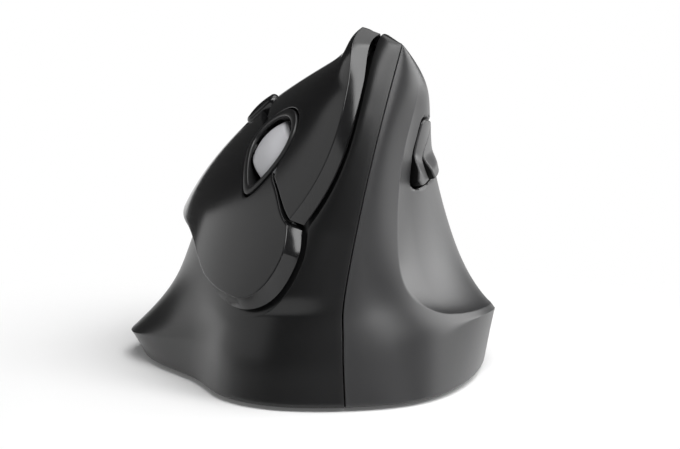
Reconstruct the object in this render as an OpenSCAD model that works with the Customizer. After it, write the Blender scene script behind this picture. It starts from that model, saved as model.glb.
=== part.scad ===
// Vertical mouse for the right hand: a leaning body with a wing on the finger side and a
// ledge under the thumb, a raised finger panel with two buttons and a wheel, two thumb
// buttons, and the boards, switches, battery and receiver inside.
// The nose faces -Y, the thumb side is +X, and the feet stand on z = 0.

/* [Body] */
// Width across the wing and the thumb ledge
body_w = 81; // [76:1:92]
// Length from nose to tail
body_l = 110; // [106:1:126]
// Height of the finger panel's tip over the desk
body_h = 76; // [73:1:86]
// Wall of the two shells
wall = 2.2; // [1.8:0.1:2.6]
// Depth of the thumb scoop behind its rim
scoop_depth = 1.7; // [0.8:0.1:2.4]

/* [Finger panel] */
// Height of the panel's outer face over the shell
panel_h = 4.2; // [3.8:0.1:5]
// Width of the band around the panel's edge
band_w = 3; // [2.4:0.1:3.2]
// Thickness of the buttons behind the band
button_t = 1.6; // [1.2:0.1:2]
// Height of the spine's edge over the groove beside the panel
spine_h = 1.6; // [0.8:0.1:2]
// Turn of a finger button from rest to its stop
press_deg = 1; // [0.5:0.1:1.1]

/* [Wheel] */
// Radius of the wheel over its tyre
wheel_r = 9.2; // [8.8:0.1:9.4]
// Width of the tyre
wheel_w = 10.6; // [8:0.2:10.8]
// Height of the wheel over the finger panel
wheel_proud = 0.8; // [0.2:0.1:2.4]
// Diameter of the axle
axle_d = 2.4; // [2:0.1:3]
// Travel of the wheel when it is clicked
click_travel = 0.5; // [0.2:0.1:0.5]
// Height of the button behind the wheel over the panel
dpi_proud = 1.3; // [0.8:0.1:2]

/* [Thumb buttons] */
// Height of the thumb buttons over the shell
side_h = 1.5; // [1:0.1:2.2]
// Travel of a thumb button
side_travel = 0.5; // [0.2:0.1:0.6]

/* [Base] */
// Thickness of the glide feet
foot_h = 0.8; // [0.6:0.1:1]
// Thickness of the base plate
plate_t = 2; // [1.6:0.1:2.4]
// Diameter of the battery cell
cell_d = 14.5; // [10.5:0.5:14.5]
// Length of the battery cell without its nub
cell_l = 49; // [43:0.5:49.5]

/* [Hidden] */
$fn = 48;

// Clearance between fixed neighbours and round moving ones
gap = 0.3;
// Running clearance of a pin in its bore
run = 0.05;
eps = 0.01;

function unit(p) = p / norm(p);
function clamp(x) = min(max(x, 0), 1);
function smooth(x) = let (t = clamp(x)) t * t * (3 - 2 * t);
function mix(a, b, t) = a + (b - a) * t;
function steps(a, b, n) = [for (i = [0:n]) a + (b - a) * i / n];

// The body's skin
// Fourteen upright guide lines around the body, each with six points: base, skirt edge,
// low, middle, high and shoulder. Guide 0 runs up the nose and guide 7 up the tail.
guides = [
  [[8, -55, 0], [7.6, -53.5, 11], [8, -51, 22], [11, -47.5, 38], [14.8, -43, 55], [19.3, -36, 71.2]],
  [[23.5, -49.5, 0], [22.5, -46.5, 14], [18.8, -43.2, 25], [18.2, -40, 38], [20, -37, 54],
    [23.7, -32.5, 67.3]],
  [[33, -34.5, 0], [33, -32.5, 14], [27.5, -31, 23.5], [24.8, -30.5, 36], [24.3, -29.5, 50],
    [25.6, -26, 64.8]],
  [[37.4, -18, 0], [39.3, -18, 13.5], [33.2, -17, 23], [29.4, -17.5, 36], [27.1, -18, 50], [25, -17, 63.5]],
  [[38.8, 0, 0], [41, -1, 11.5], [35.2, 0, 21.5], [30.6, 0, 35], [27, -1.5, 48.5], [22.8, -4, 60.5]],
  [[33.5, 22, 0], [35, 22, 8.5], [30.5, 20, 18], [26, 18, 29.5], [22, 16, 42], [18, 12.5, 54.5]],
  [[20, 43, 0], [21, 43.5, 7], [20, 40.5, 15], [17.5, 36, 25], [15, 31.5, 35.5], [12, 28, 45]],
  [[0, 55, 0], [0, 55.5, 6.5], [0.5, 54, 13], [1.5, 51, 20], [2.5, 47, 27], [4, 42, 34]],
  [[-21, 41, 0], [-23, 42, 5.5], [-20.5, 39.5, 15], [-17, 36.5, 25], [-11, 33, 34.5], [-1, 30, 44]],
  [[-35, 13, 0], [-37.5, 14, 5.5], [-29, 14, 16], [-24.1, 14.5, 29], [-15.1, 15, 41.6], [1, 16, 54.5]],
  [[-35, -9.5, 0], [-38.6, -5, 6], [-28, -3, 18.2], [-23.6, -1, 31.8], [-13.3, -1, 47.1], [6, -4, 62.5]],
  [[-23.5, -28, 0], [-23, -27.3, 9], [-21.5, -25, 20], [-14.5, -22, 38], [-2.5, -20, 55],
    [11.5, -19.5, 68]],
  [[-18.8, -43, 0], [-17.7, -42, 10], [-15.5, -39, 19.5], [-6, -35, 38], [3.5, -31.5, 56],
    [13.6, -27.5, 71.6]],
  [[-7.5, -53.8, 0], [-7, -51.7, 10.5], [-5.5, -47.5, 22], [1.5, -43, 38], [9, -39, 55],
    [15.3, -32.8, 73.6]]
];
// How softly the skirt edge turns at each guide: small is crisp
softness = [0.5, 0.42, 0.2, 0.14, 0.14, 0.2, 0.3, 0.3, 0.3, 0.2, 0.15, 0.3, 0.5, 0.5];
// Size of the body that the guide points describe
drawn = [81.2, 110, 76.7];
stretch = [body_w / drawn[0], body_l / drawn[1], (body_h - foot_h) / (drawn[2] - 0.8)];
ridge = 7.5;
turn = len(guides);
tail = turn / 2;

function sized(p) = [p[0] * stretch[0], p[1] * stretch[1], foot_h + max(p[2] - 0.8, 0) * stretch[2]];
function guide_rows(g, s) = let (p = [for (q = g) sized(q)])
  [p[0], mix(p[1], p[0], s), p[1], mix(p[1], p[2], s), p[2], p[3], p[4], p[5]];
lines = [for (i = [0:turn - 1]) guide_rows(guides[i], softness[i])];
function opposite(i) = lines[(turn - i) % turn];
// Rows of every guide, led by a row under the base and closed over the ridge
closed = [for (i = [0:turn - 1]) let (l = lines[i], o = opposite(i))
  concat([2 * l[0] - l[1]], l, [o[7], o[6], o[5]])];
function around(i) = closed[(i + turn) % turn];
eased = [for (i = [0:turn - 1]) [for (k = [0:len(closed[0]) - 1])
  closed[i][k] - (around(i - 1)[k] - 2 * closed[i][k] + around(i + 1)[k]) / 6]];
function settled(row, k) = k == 0 || k == len(row) - 1
  ? row[k]
  : row[k] - (row[k - 1] - 2 * row[k] + row[k + 1]) / 6;
net = [for (row = eased) [for (k = [0:len(row) - 1]) settled(row, k)]];

function weights(t) = [pow(1 - t, 3), 3 * pow(t, 3) - 6 * t * t + 4,
  -3 * pow(t, 3) + 3 * t * t + 3 * t + 1, pow(t, 3)] / 6;
function slopes(t) = [-pow(1 - t, 2), 3 * t * t - 4 * t, -3 * t * t + 2 * t + 1, t * t] / 2;
function net_at(i, k) = net[(i + turn) % turn][k];
// Point and outward normal of the skin, u around the body and v up from the base
function skin_at(u, v) = let (
    i = floor(u), k = min(floor(v), 7),
    wu = weights(u - i), su = slopes(u - i), wv = weights(v - k), sv = slopes(v - k),
    across = [for (b = [0:3]) wu * [for (a = [0:3]) net_at(i - 1 + a, k + b)]],
    along = [for (b = [0:3]) su * [for (a = [0:3]) net_at(i - 1 + a, k + b)]]
  ) [wv * across, unit(cross(wv * along, sv * across))];
scoop_rim = [1.08, 2.9];
scoop_run = [0.75, 1.5];
// Depth of the thumb scoop: crisp at its rim, soft inside, fading to the rear and the top
function scoop(u, v) = u > tail ? 0 : let (
    a = max(1 - (u - scoop_rim[0]) / scoop_run[0], 0),
    b = max(1 - (v - scoop_rim[1]) / scoop_run[1], 0),
    s = clamp(1 - sqrt(a * a + b * b))
  ) scoop_depth * (1 - pow(1 - s, 2)) * smooth((5.2 - u) / 2.6) * smooth((7 - v) / 1.3);
// Point of the skin moved out along its normal
function skin(u, v, out = 0) = let (
    s = skin_at(u, v),
    n = v > ridge - 0.04 ? skin_at(u, ridge - 0.04)[1] : s[1]
  ) s[0] + (out - scoop(u, v)) * n;
// Way from a point of the skin to the hollow inside: level near the base and behind the thumb
function inward(p) = let (
    deep = mix(0.42 * p[2] + 6, 0.85 * p[2] + 1, smooth((p[0] - 14) / 10)),
    c = [4 + 0.15 * p[2], 0.6 * p[1], mix(p[2], deep, smooth((p[2] - foot_h) / 15))]
  ) unit(c - p);
function inner(u, v, t = wall) = let (p = skin(u, v)) p + t * inward(p);

// Solid between two grids of points; cells inside any of the windows are left out
function held(i, j, m, n, windows) = i >= 0 && j >= 0 && i < m - 1 && j < n - 1
  && len([for (w = windows) if (i >= w[0] && i < w[1] && j >= w[2] && j < w[3]) 1]) == 0;
module slab(outer, under, windows = []) {
  m = len(outer);
  n = len(outer[0]);
  low = m * n;
  faces = [for (i = [0:m - 2]) for (j = [0:n - 2]) if (held(i, j, m, n, windows)) let (
      a = i * n + j, b = a + n, c = b + 1, d = a + 1
    ) each concat(
      [[a, d, c], [a, c, b], [a + low, b + low, c + low], [a + low, c + low, d + low]],
      held(i, j - 1, m, n, windows) ? [] : [[a, b, b + low], [a, b + low, a + low]],
      held(i + 1, j, m, n, windows) ? [] : [[b, c, c + low], [b, c + low, b + low]],
      held(i, j + 1, m, n, windows) ? [] : [[c, d, d + low], [c, d + low, c + low]],
      held(i - 1, j, m, n, windows) ? [] : [[d, a, a + low], [d, a + low, d + low]]
    )];
  polyhedron(concat([for (r = outer) each r], [for (r = under) each r]), faces, convexity = 6);
}

// Frames on the skin: x along a given way, z out of the skin
function frame_at(u, v, way) = let (
    s = skin_at(u, v), n = s[1], x = unit(way - n * (way * n))
  ) [skin(u, v), x, cross(n, x), n];
module in_frame(f) {
  multmatrix([
    [f[1][0], f[2][0], f[3][0], f[0][0]],
    [f[1][1], f[2][1], f[3][1], f[0][1]],
    [f[1][2], f[2][2], f[3][2], f[0][2]],
    [0, 0, 0, 1]
  ]) children();
}
function to_frame(f, p) = [(p - f[0]) * f[1], (p - f[0]) * f[2], (p - f[0]) * f[3]];
module block(x0, x1, y0, y1, z0, z1) {
  translate([x0, y0, z0]) cube([x1 - x0, y1 - y0, z1 - z0]);
}
module pill(l, w, h) {
  linear_extrude(h) {
    square([l - w, w], center = true);
    for (s = [-1, 1]) translate([s * (l - w) / 2, 0]) circle(w / 2);
  }
}

// Finger panel
lip_u = 12.95;
// Swell of the upper lip towards the nose, and lean of the lip's wall
lip_bulge = 0.4;
lip_lean = 0.14;
button_rear_u = 9.55;
top_v = 7.2;
// Split between the finger buttons: straight before the wheel, a step higher behind it
function split_v(u) = 4.95 + 0.4 * (12.78 - u) + 0.2 * smooth(11.6 - u);
function low_v(u) = let (x = min(12.6 - u, 3))
  3.88 + 0.3 * x + 0.033 * x * x - 0.2 * smooth((u - 10.3) / 1.2);
// Height of the panel over the shell: lower along the ridge and to the rear, higher at the peak
function rise(u, v) = panel_h
  * (1 + 0.32 * smooth((v - 6.4) / 0.6) * smooth((u - 12) / 0.7))
  * (1 - 0.3 * smooth((v - 6.3) / 0.8) * smooth((12.4 - u) / 1.2))
  * (1 - 0.45 * smooth((9.6 - u) / 1.6));
ring_c = [11.44, 5.53];
ring_a = [0.467, 0.472];
ring_face = [0.075, 0.085];
ring_egg = 0.5;
ring_skew = 0.1;
// Egg of half sizes h around the wheel on the skin, wider at its upper end
function egg_at(a, h) = ring_c
  + [h[0] * cos(a) * (1 + ring_egg * sin(a)) - ring_skew * sin(a), h[1] * sin(a)];
function ring_at(a, s = 0) = egg_at(a, ring_a + s * [0.067, 0.047]);
dpi_u = 10.12;
dpi_v = split_v(dpi_u) + 0.09;
// Opening for the small button between the two finger buttons
dpi_a = [0.13, 0.32];
function dpi_at(a) = [dpi_u + dpi_a[0] * cos(a), dpi_v + dpi_a[1] * sin(a)];
// Half the split between the two buttons, wider towards the lip, where they move most
function split_half(u) = 0.014 + 0.016 * smooth((u - 12) / 0.8);
ring_gap = 0.5;
// Edge of a button along the split, around the small button and the ring; side 1 is the
// upper button and side -1 the lower one
function split_edge(side) = concat(
  [for (u = [button_rear_u, 9.63, 9.73, 9.9]) [u, split_v(u) + side * split_half(u)]],
  [for (a = [165, 140, 110, 70, 40, 15]) dpi_at(side * a)],
  [for (a = side > 0 ? steps(133, -15, 9) : steps(141, 337, 9)) ring_at(a, ring_gap)],
  [for (u = [12.08, 12.35, 12.6, 12.78, 12.88, lip_u]) [u, split_v(u) + side * split_half(u)]]
);
function even(n, i) = i / (n - 1);
// Front ends of the panel's top and lower edges, and the round corner of the lower one
lip_top = [lip_u - 0.2, top_v - 0.1];
lip_low_u = lip_u + 0.15;
corner = [0.7, 1];
corner_top = low_v(lip_low_u) + corner[1];
function corner_share(u) = clamp(1 - (lip_low_u - u) / corner[0]);
function round_in(c) = 1 - sqrt(1 - c * c);
function top_edge(n) = [for (i = [0:n - 1]) let (s = even(n, i))
  [mix(button_rear_u, lip_top[0], s), mix(top_v, lip_top[1], smooth((s - 0.7) / 0.3))]];
function low_edge(n) = [for (i = [0:n - 1]) let (
    s = even(n, i), u = mix(button_rear_u, lip_low_u, 1 - pow(1 - s, 1.6))
  ) [u, low_v(u) + corner[1] * round_in(corner_share(u))]];
cross_rows = [0, 0.05, 0.1, 0.25, 0.4, 0.55, 0.7, 0.82, 0.91, 0.95, 1];
// How far a column of a button, 0 at the rear and 1 at the lip, takes part in the lip's shape
function at_lip(s) = smooth((s - 0.75) / 0.25);
// Shift of a button's top face from its under side, so that the wall around its edge leans;
// c is the share of the lower corner that the column has passed
function lean_at(s, q, upper, c) = upper
  ? [-lip_lean * at_lip(s), -0.12 * q * q * smooth((s - 0.5) / 0.5)]
  : [-lip_lean * mix(c, at_lip(s), q), 0.16 * sqrt(1 - c * c) * smooth((s - 0.1) / 0.5) * pow(1 - q, 2)];
// Button between two edges: a plate with a deeper band around its rim, except along the split
module button_plate(bottom, top, upper) {
  m = len(bottom);
  n = len(cross_rows);
  bulge = upper ? lip_bulge : lip_bulge / 16;
  spots = [for (i = [0:m - 1]) [for (q = cross_rows)
    mix(bottom[i], top[i], q) + [bulge * 4 * q * (1 - q) * at_lip(even(m, i)), 0]]];
  outer = [for (i = [0:m - 1]) [for (j = [0:n - 1]) let (
      p = spots[i][j], c = corner_share(bottom[i][0]), t = p + lean_at(even(m, i), cross_rows[j], upper, c)
    ) skin(t[0], t[1], rise(p[0], p[1]))]];
  under = [for (i = [0:m - 1]) [for (j = [0:n - 1]) let (
      p = spots[i][j], edge = upper ? n - 1 - j : j, rim = min(min(i, m - 1 - i), edge) <= 1
    ) skin(p[0], p[1], rise(p[0], p[1]) - (rim ? band_at(p) : min(button_t, band_at(p))))]];
  slab(outer, under);
}
// Depth of the band, kept off the shell by the press gap where the panel is low
function band_at(p) = min(band_w, rise(p[0], p[1]) - press_gap);
// Reach from a button's pin to its front edge and to its plunger
press_reach = 52;
plunger_reach = 37;
press_gap = 0.2 + press_reach * tan(press_deg);

// Wheel frame: x rolls to the front, y runs along the axle to the thumb side, z out
wheel_u = 11.44;
wheel_run = [0.3, -0.14];
wheel_way = skin(wheel_u + wheel_run[0], ring_c[1] + wheel_run[1])
  - skin(wheel_u - wheel_run[0], ring_c[1] - wheel_run[1]);
wheel_frame = frame_at(wheel_u, ring_c[1], wheel_way);
wheel_at = [-1.1, 0.35];
axle_n = panel_h + wheel_proud - wheel_r;
post_t = 1.8;
post_in = wheel_w / 2 + 0.4;
post_out = post_in + post_t;
well = [wheel_r + 0.6, post_out + 0.5];
hub_r = 6.6;
board_t = 1.6;
board_n = -6.2;
board_f = [-11.8, 14.4];
board_s = [-15.4, 15.4];
chassis_t = 2;
chassis_n = board_n - board_t;
carrier_n = axle_n - wheel_r - 1;
carrier_t = 1.2;
click_switch_h = 1.8;
cage_n = carrier_n - carrier_t - click_travel - 0.1 - click_switch_h;
cage_t = 1.6;
cage_s = [-6, 5];
leg_x = [-12, -4.8] * stretch[0];

// Switches under the finger buttons
switch_h = 2;
switch_w = 6;
plunger_d = 3;
plunger_room = 1;
button_stud_d = 2.6;
stud_h = 0.5;
plunger_gap = 0.2 + plunger_reach * tan(press_deg);
function under_button(p) = to_frame(wheel_frame, skin(p[0], p[1], rise(p[0], p[1]) - button_t));
upper_spot = under_button([12.45, 5.75]);
lower_spot = under_button([11.75, 4.8]);
plunger_low = board_n + switch_h + plunger_gap;

// Small button behind the wheel
dpi_frame = frame_at(dpi_u, split_v(dpi_u), wheel_way);
// Size of its cap across and along the split, and the cap's shift off its stem
dpi_size = [9, 4];
dpi_shift = 1.5;
dpi_travel = 0.4;
dpi_under = 0.7;
dpi_stem_d = 2.6;
dpi_stem_n = -3.1;
dpi_stem_room = 0.4;
dpi_switch_h = 1.6;
dpi_switch_w = 4.4;
dpi_post_n = -2.8;
dpi_board_n = dpi_stem_n - dpi_travel - 0.1 - dpi_switch_h;

// Thumb buttons
side_us = [1.75, 2.8, 4.05];
side_gap = 0.03;
function side_share(u) = (u - side_us[0]) / (side_us[2] - side_us[0]);
function side_low(u) = 5.42 + 0.12 * side_share(u);
function side_top(u) = 6.46 - 0.18 * pow(side_share(u), 2);
function side_mid(u) = (side_low(u) + side_top(u)) / 2;
function side_half(u) = (side_top(u) - side_low(u)) / 2;
// Split between the thumb buttons by the share of their height, with its waist towards the nose
side_waist = [2.36, 0.41];
function side_split(q) = side_waist[0] + (q < side_waist[1]
  ? 0.36 * pow(1 - q / side_waist[1], 1.3)
  : 0.7 * smooth((q - side_waist[1]) / 0.55));
side_switch_us = [2.08, 3.35];
side_way = skin(side_us[1] + 0.2, side_mid(side_us[1])) - skin(side_us[1] - 0.2, side_mid(side_us[1]));
side_frame = frame_at(side_us[1], side_mid(side_us[1]), side_way);
side_in = wall + 0.8;
side_board_n = -8.3;
side_board_t = 1.6;
side_board_size = [26, 9];
side_bracket_t = 2.2;
side_switch = [6, 2.4];
side_drop = 16;
side_leg_x = [17.6, 21.6];
side_leg_y = [-13.5, -8];
// Heights of the arm between the thumb board's plate and its leg
side_arm = side_frame[0][2] * [1, 1] - [14.5, 11.5];

// Base
plate_z = foot_h;
plate_top = foot_h + plate_t;
stand_h = 3;
stand_d = 5;
stand_bore = 2;
// Glide feet: place, turn, length and width
foot_pads = [[4, -37, 0, 24, 6], [0, 45, 0, 20, 5], [-27, -3, 90, 14, 5], [31, -8, 90, 18, 5]];
boss_at = [for (p = [[-28, 8, 10], [26, -24, 15], [-16, 34, 14], [5, -45.5, 11]])
  [p[0] * stretch[0], p[1] * stretch[1], p[2]]];
boss_d = 5.5;
boss_bore = 2.3;
screw_head = [4.8, 0.9];
shell_screw_l = 6.5;
sensor_h = 2.2;
lens_d = 9;
lens_rim_d = 11;
lens_lift = 0.6;
door_x = 6;
door_y = [-13.5, 40];
door_w = 17;
door_t = 1.6;
door_axis = [door_y[0] + 1.3, plate_z + 1];
door_pin_d = 1.2;
door_pin_l = 2;
door_barrel_r = 0.95;
cell_z = plate_z + door_t + gap + cell_d / 2;
cell_y = door_y[0] + 1.8;
cell_nub = [5.4, 1];
contact_t = 0.4;
cradle_t = 1.4;
cradle_h = 8;
// Main board between the front boss and the battery cradle, on four stands
board_screw_head = [4, 1.3];
board_z = plate_top + stand_h;
main_x = [-9, 20];
main_y = [boss_at[3][1] + 4.5, door_y[0] - cradle_t - 2.1];
stand_in = 3;
stand_at = [for (x = [main_x[0] + stand_in, main_x[1] - stand_in])
  for (y = [main_y[0] + stand_in, main_y[1] - stand_in]) [x, y]];
sensor_at = [5, (main_y[0] + main_y[1]) / 2];
leg_y = [main_y[1], main_y[1] + 5.4];
knob_at = [24, 8];
knob_slot = [7.2, 11.2];
knob_size = [6.4, 5];
power_switch_h = 3.4;
knob_travel = knob_slot[1] - knob_size[1] - 2 * gap;
socket_at = [-13, 17];
stick = [13, 6, 5];
plug = [12, 4.5, 12];
socket_wall = 1.5;

module base_shape(inset) {
  polygon([for (k = [0:turn * 6 - 1]) let (p = inner(k / 6, 0, wall + inset)) [p[0], p[1]]]);
}
module base_plate() {
  color([0.1, 0.1, 0.11]) difference() {
    union() {
      translate([0, 0, plate_z]) linear_extrude(plate_t) base_shape(0.7);
      for (p = stand_at) translate([p[0], p[1], plate_top - eps]) cylinder(h = stand_h + eps, d = stand_d);
    }
    for (p = stand_at) translate([p[0], p[1], plate_z + 1]) cylinder(h = 8, d = stand_bore + 2 * run);
    for (p = boss_at) translate([p[0], p[1], 0]) {
      cylinder(h = 8, d = boss_bore);
      cylinder(h = plate_z + 1, d = screw_head[0] + 2 * gap);
    }
    translate([sensor_at[0], sensor_at[1], 0]) cylinder(h = 10, d = lens_d);
    block(door_x - door_w / 2 - gap, door_x + door_w / 2 + gap, door_y[0], door_y[1], 0, 10);
    translate([door_x, door_axis[0], door_axis[1]]) rotate([0, 90, 0])
      cylinder(h = door_w + 2 * door_pin_l + 2, d = door_pin_d + 2 * run, center = true);
    translate([knob_at[0], knob_at[1], 5]) cube([knob_slot[0], knob_slot[1], 10], center = true);
    translate([socket_at[0], socket_at[1], 0]) socket_hole(stick, 0, 10);
  }
}

// Foot of the panel's front wall, from the lower corner up to the tip
function lip_at(v) = v > split_v(lip_u)
  ? let (q = clamp((v - split_v(lip_u)) / (lip_top[1] - split_v(lip_u))))
    mix(lip_u, lip_top[0], q) + lip_bulge * 4 * q * (1 - q)
  : v > corner_top
  ? let (q = (v - corner_top) / (split_v(lip_u) - corner_top))
    mix(lip_low_u, lip_u, q) + lip_bulge / 4 * q * (1 - q)
  : lip_low_u - corner[0] * round_in(clamp((corner_top - v) / corner[1]));
// Columns of the finger shell: those before the spine are drawn to the lip, and a groove
// parts the lip from the spine's raised edge
groove_u = 0.09;
seam_u = turn - 0.01;
lip_cols = [11.85, 13, 13.1, 13.12];
finger_us = concat([tail + 0.01], steps(7.4, 9.4, 5), steps(9.75, 12.75, 10),
  [for (k = [1:3]) lip_cols[k]], [13.25, 13.4, 13.65, seam_u]);
function spine_u(b, v) = let (
    l = lip_at(max(v, corner_top - corner[1])),
    u = b < lip_cols[0] ? b
      : b <= lip_cols[1] ? mix(lip_cols[0], l, (b - lip_cols[0]) / (lip_cols[1] - lip_cols[0]))
      : b <= lip_cols[2] ? l + groove_u * (b - lip_cols[1]) / (lip_cols[2] - lip_cols[1])
      : mix(l + groove_u, seam_u, (b - lip_cols[2]) / (seam_u - lip_cols[2]))
  ) mix(b, u, smooth((v - 2.6) / 0.9));
// Height of the spine over the groove: highest below the tip, where it falls away
function spine_lift(b, v) = b < lip_cols[3] ? 0 : let (
    t = (b - lip_cols[3]) / (seam_u - lip_cols[3]),
    peak = (1 + 0.8 * smooth((v - 6.2) / 0.6)) * (1 - 0.9 * smooth((v - 6.95) / 0.5))
  ) spine_h * peak * smooth((v - 3.5) / 0.6) * (1 - mix(smooth(t), t, smooth(v - 6)));
// Point of the spine, raised out of the skin below and straight up near the tip
function spine(b, v) = let (u = spine_u(b, v), n = skin_at(u, min(v, 7.4))[1])
  skin(u, v) + spine_lift(b, v) * unit(mix(n, [0, 0, 1], smooth(v - 5.8)));
shell_vs = [0, 0.6, 1.2, 1.7, 2, 2.3, 2.7, 3.1, 3.4, 3.6, 3.8, 4.1, 4.5, 4.9, 5.3, 5.7, 6.1, 6.5, 6.8,
  7.05, 7.3, ridge - 0.01];
module finger_shell() {
  color([0.11, 0.11, 0.12]) difference() {
    slab([for (b = finger_us) [for (v = shell_vs) spine(b, v)]],
      [for (b = finger_us) [for (v = shell_vs) inner(spine_u(b, v), v)]]);
    in_frame(wheel_frame) {
      translate([wheel_at[0], wheel_at[1], 0]) cube([2 * well[0], 2 * well[1], 16], center = true);
      for (s = [upper_spot, lower_spot]) translate([s[0], s[1], -10])
        cylinder(h = 16, d = plunger_d + 2 * plunger_room);
    }
    in_frame(dpi_frame) translate([0, 0, -6]) cylinder(h = 12, d = dpi_stem_d + 2 * dpi_stem_room);
  }
}

thumb_us = concat([0.01], [0.3, 0.6, 0.85, 1.08, 1.2, 1.4, 1.6], steps(side_us[0], side_us[2], 8),
  [4.5, 4.9, 5.4, 6, 6.5, tail - 0.01]);
low_rows = [0, 0.1, 0.2, 0.29, 0.34, 0.39, 0.48, 0.56, 0.68, 0.82];
window_rows = [0, 0.33, 0.67];
high_rows = [0, 0.3, 0.6, 0.85, 1];
window_u = [8, 16];
// Rows of the thumb shell, bent so that some of them border the button window
function thumb_vs(u) = let (
    c = min(max(u, 1.5), 4.4), a = side_mid(c) - side_half(c), b = side_mid(c) + side_half(c)
  ) concat(
    [for (q = low_rows) mix(0, a, q)],
    [for (q = window_rows) mix(a, b, q)],
    [for (q = high_rows) mix(b, ridge - 0.01, q)]
  );
module thumb_shell() {
  color([0.12, 0.12, 0.13]) slab(
    [for (u = thumb_us) [for (v = thumb_vs(u)) skin(u, v)]],
    [for (u = thumb_us) [for (v = thumb_vs(u)) inner(u, v)]],
    [[window_u[0], window_u[1], len(low_rows), len(low_rows) + len(window_rows)]]
  );
}

module upper_button() {
  e = split_edge(1);
  color([0.07, 0.07, 0.08]) button_plate(e, top_edge(len(e)), true);
}
module lower_button() {
  e = split_edge(-1);
  color([0.07, 0.07, 0.08]) button_plate(low_edge(len(e)), e, false);
}
cover_u = [9.48, 7.7];
cover_cols = [0.99, 0.965, 0.92, 0.85, 0.76, 0.65, 0.52, 0.38, 0.22, 0.08, 0];
cover_rows = [0, 0.05, 0.15, 0.3, 0.5, 0.7, 0.85, 0.95, 1];
cover_us = [for (x = cover_cols) mix(cover_u[0], cover_u[1], x)];
// Rows of the palm cover: a leaf that closes in a round end over the tail
function cover_v(u, q) = let (
    x = (cover_u[0] - u) / (cover_u[0] - cover_u[1]), m = (top_v + low_v(cover_u[0])) / 2 + 0.1 * x
  ) m + (2 * q - 1) * (top_v - m + 0.1 * x) * sqrt(1 - pow(x, 2.6));
module palm_cover() {
  color([0.08, 0.08, 0.09]) slab(
    [for (u = cover_us) [for (q = cover_rows) let (v = cover_v(u, q)) skin(u, v, rise(u, v))]],
    [for (u = cover_us) [for (q = cover_rows) let (v = cover_v(u, q)) skin(u, v, 0.2)]]
  );
}
// Rear axes of the finger buttons: two ends and a radius each
pin_u = 9.8;
upper_pin = [skin(pin_u, 6.6, 0.75), skin(pin_u, 7, 0.75), 0.45];
lower_pin = [skin(pin_u, 5.5, 1), skin(pin_u, 5.95, 1), 0.65];
module rod(a, b, r) {
  way = unit(b - a);
  side = unit(cross(way, [0, 0, 1]));
  in_frame([a, side, cross(way, side), way]) cylinder(h = norm(b - a), r = r);
}
module hinge_pins() {
  color([0.6, 0.6, 0.62]) {
    rod(upper_pin[0], upper_pin[1], upper_pin[2]);
    rod(lower_pin[0], lower_pin[1], lower_pin[2]);
  }
}

// Bezel around the wheel: deep at both ends of the axle, thin before and behind the tyre
ring_n = 40;
ring_top = 0.35;
ring_lean = 25;
function ring_foot(a) = 0.2 + (panel_h - 0.6) * smooth(abs(cos(a + ring_lean)) / 0.75);
module wheel_ring() {
  spots = [for (i = [0:ring_n - 1]) let (
      a = 360 * i / ring_n, o = ring_at(a), c = egg_at(a, ring_a - ring_face),
      t = panel_h + ring_top, f = ring_foot(a)
    ) [skin(o[0], o[1], f), skin(o[0], o[1], t), skin(c[0], c[1], t), skin(c[0], c[1], f)]];
  faces = [for (i = [0:ring_n - 1]) for (k = [0:3]) let (
      a = i * 4 + k, b = i * 4 + (k + 1) % 4, j = (i + 1) % ring_n, c = j * 4 + (k + 1) % 4, d = j * 4 + k
    ) each [[a, b, c], [a, c, d]]];
  color([0.03, 0.03, 0.035]) polyhedron([for (r = spots) each r], faces, convexity = 4);
}
// Lays the children's z axis along the axle
module on_axle() {
  in_frame(wheel_frame) translate([wheel_at[0], wheel_at[1], axle_n]) rotate([-90, 0, 0]) children();
}
tyre_crown = 1.2;
module wheel_tyre() {
  half = wheel_w / 2;
  crown = [for (k = [-5:5]) let (y = k / 5) [wheel_r - tyre_crown * y * y, y * half]];
  color([0.68, 0.68, 0.69]) on_axle() rotate_extrude($fn = 64)
    polygon(concat([[hub_r, half], [hub_r, -half]], crown));
}
module wheel_hub() {
  half = wheel_w / 2 - 0.4;
  color([0.2, 0.2, 0.21]) on_axle() difference() {
    union() {
      difference() {
        cylinder(h = 2 * half, r = hub_r - 0.02, center = true);
        cylinder(h = 2 * half + 1, r = hub_r - 1.4, center = true);
      }
      cylinder(h = 2.4, r = hub_r - 1, center = true);
      cylinder(h = 2 * half, r = axle_d / 2 + 1.4, center = true);
    }
    cylinder(h = 2 * half + 1, d = axle_d + 0.04, center = true);
  }
}
module wheel_axle() {
  color([0.7, 0.7, 0.72]) on_axle() cylinder(h = 2 * post_out + 0.4, d = axle_d, center = true);
}
module wheel_carrier() {
  color([0.16, 0.16, 0.17]) in_frame(wheel_frame) translate([wheel_at[0], wheel_at[1], 0]) difference() {
    union() {
      for (s = [-1, 1]) translate([0, s * (post_in + post_out) / 2, 0]) {
        block(-3.5, 3.5, -post_t / 2, post_t / 2, carrier_n - eps, axle_n);
        translate([0, 0, axle_n]) rotate([90, 0, 0]) cylinder(h = post_t, d = axle_d + 3, center = true);
      }
      block(-6, 9.6, -post_out, post_out, carrier_n - carrier_t, carrier_n);
    }
    translate([0, 0, axle_n]) rotate([90, 0, 0])
      cylinder(h = 4 * post_out, d = axle_d + 2 * run, center = true);
  }
}
module encoder() {
  color([0.12, 0.12, 0.12]) in_frame(wheel_frame) translate([wheel_at[0], wheel_at[1], 0])
    block(6.4, 9.4, -3, 3, carrier_n, carrier_n + 2.2);
}
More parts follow.
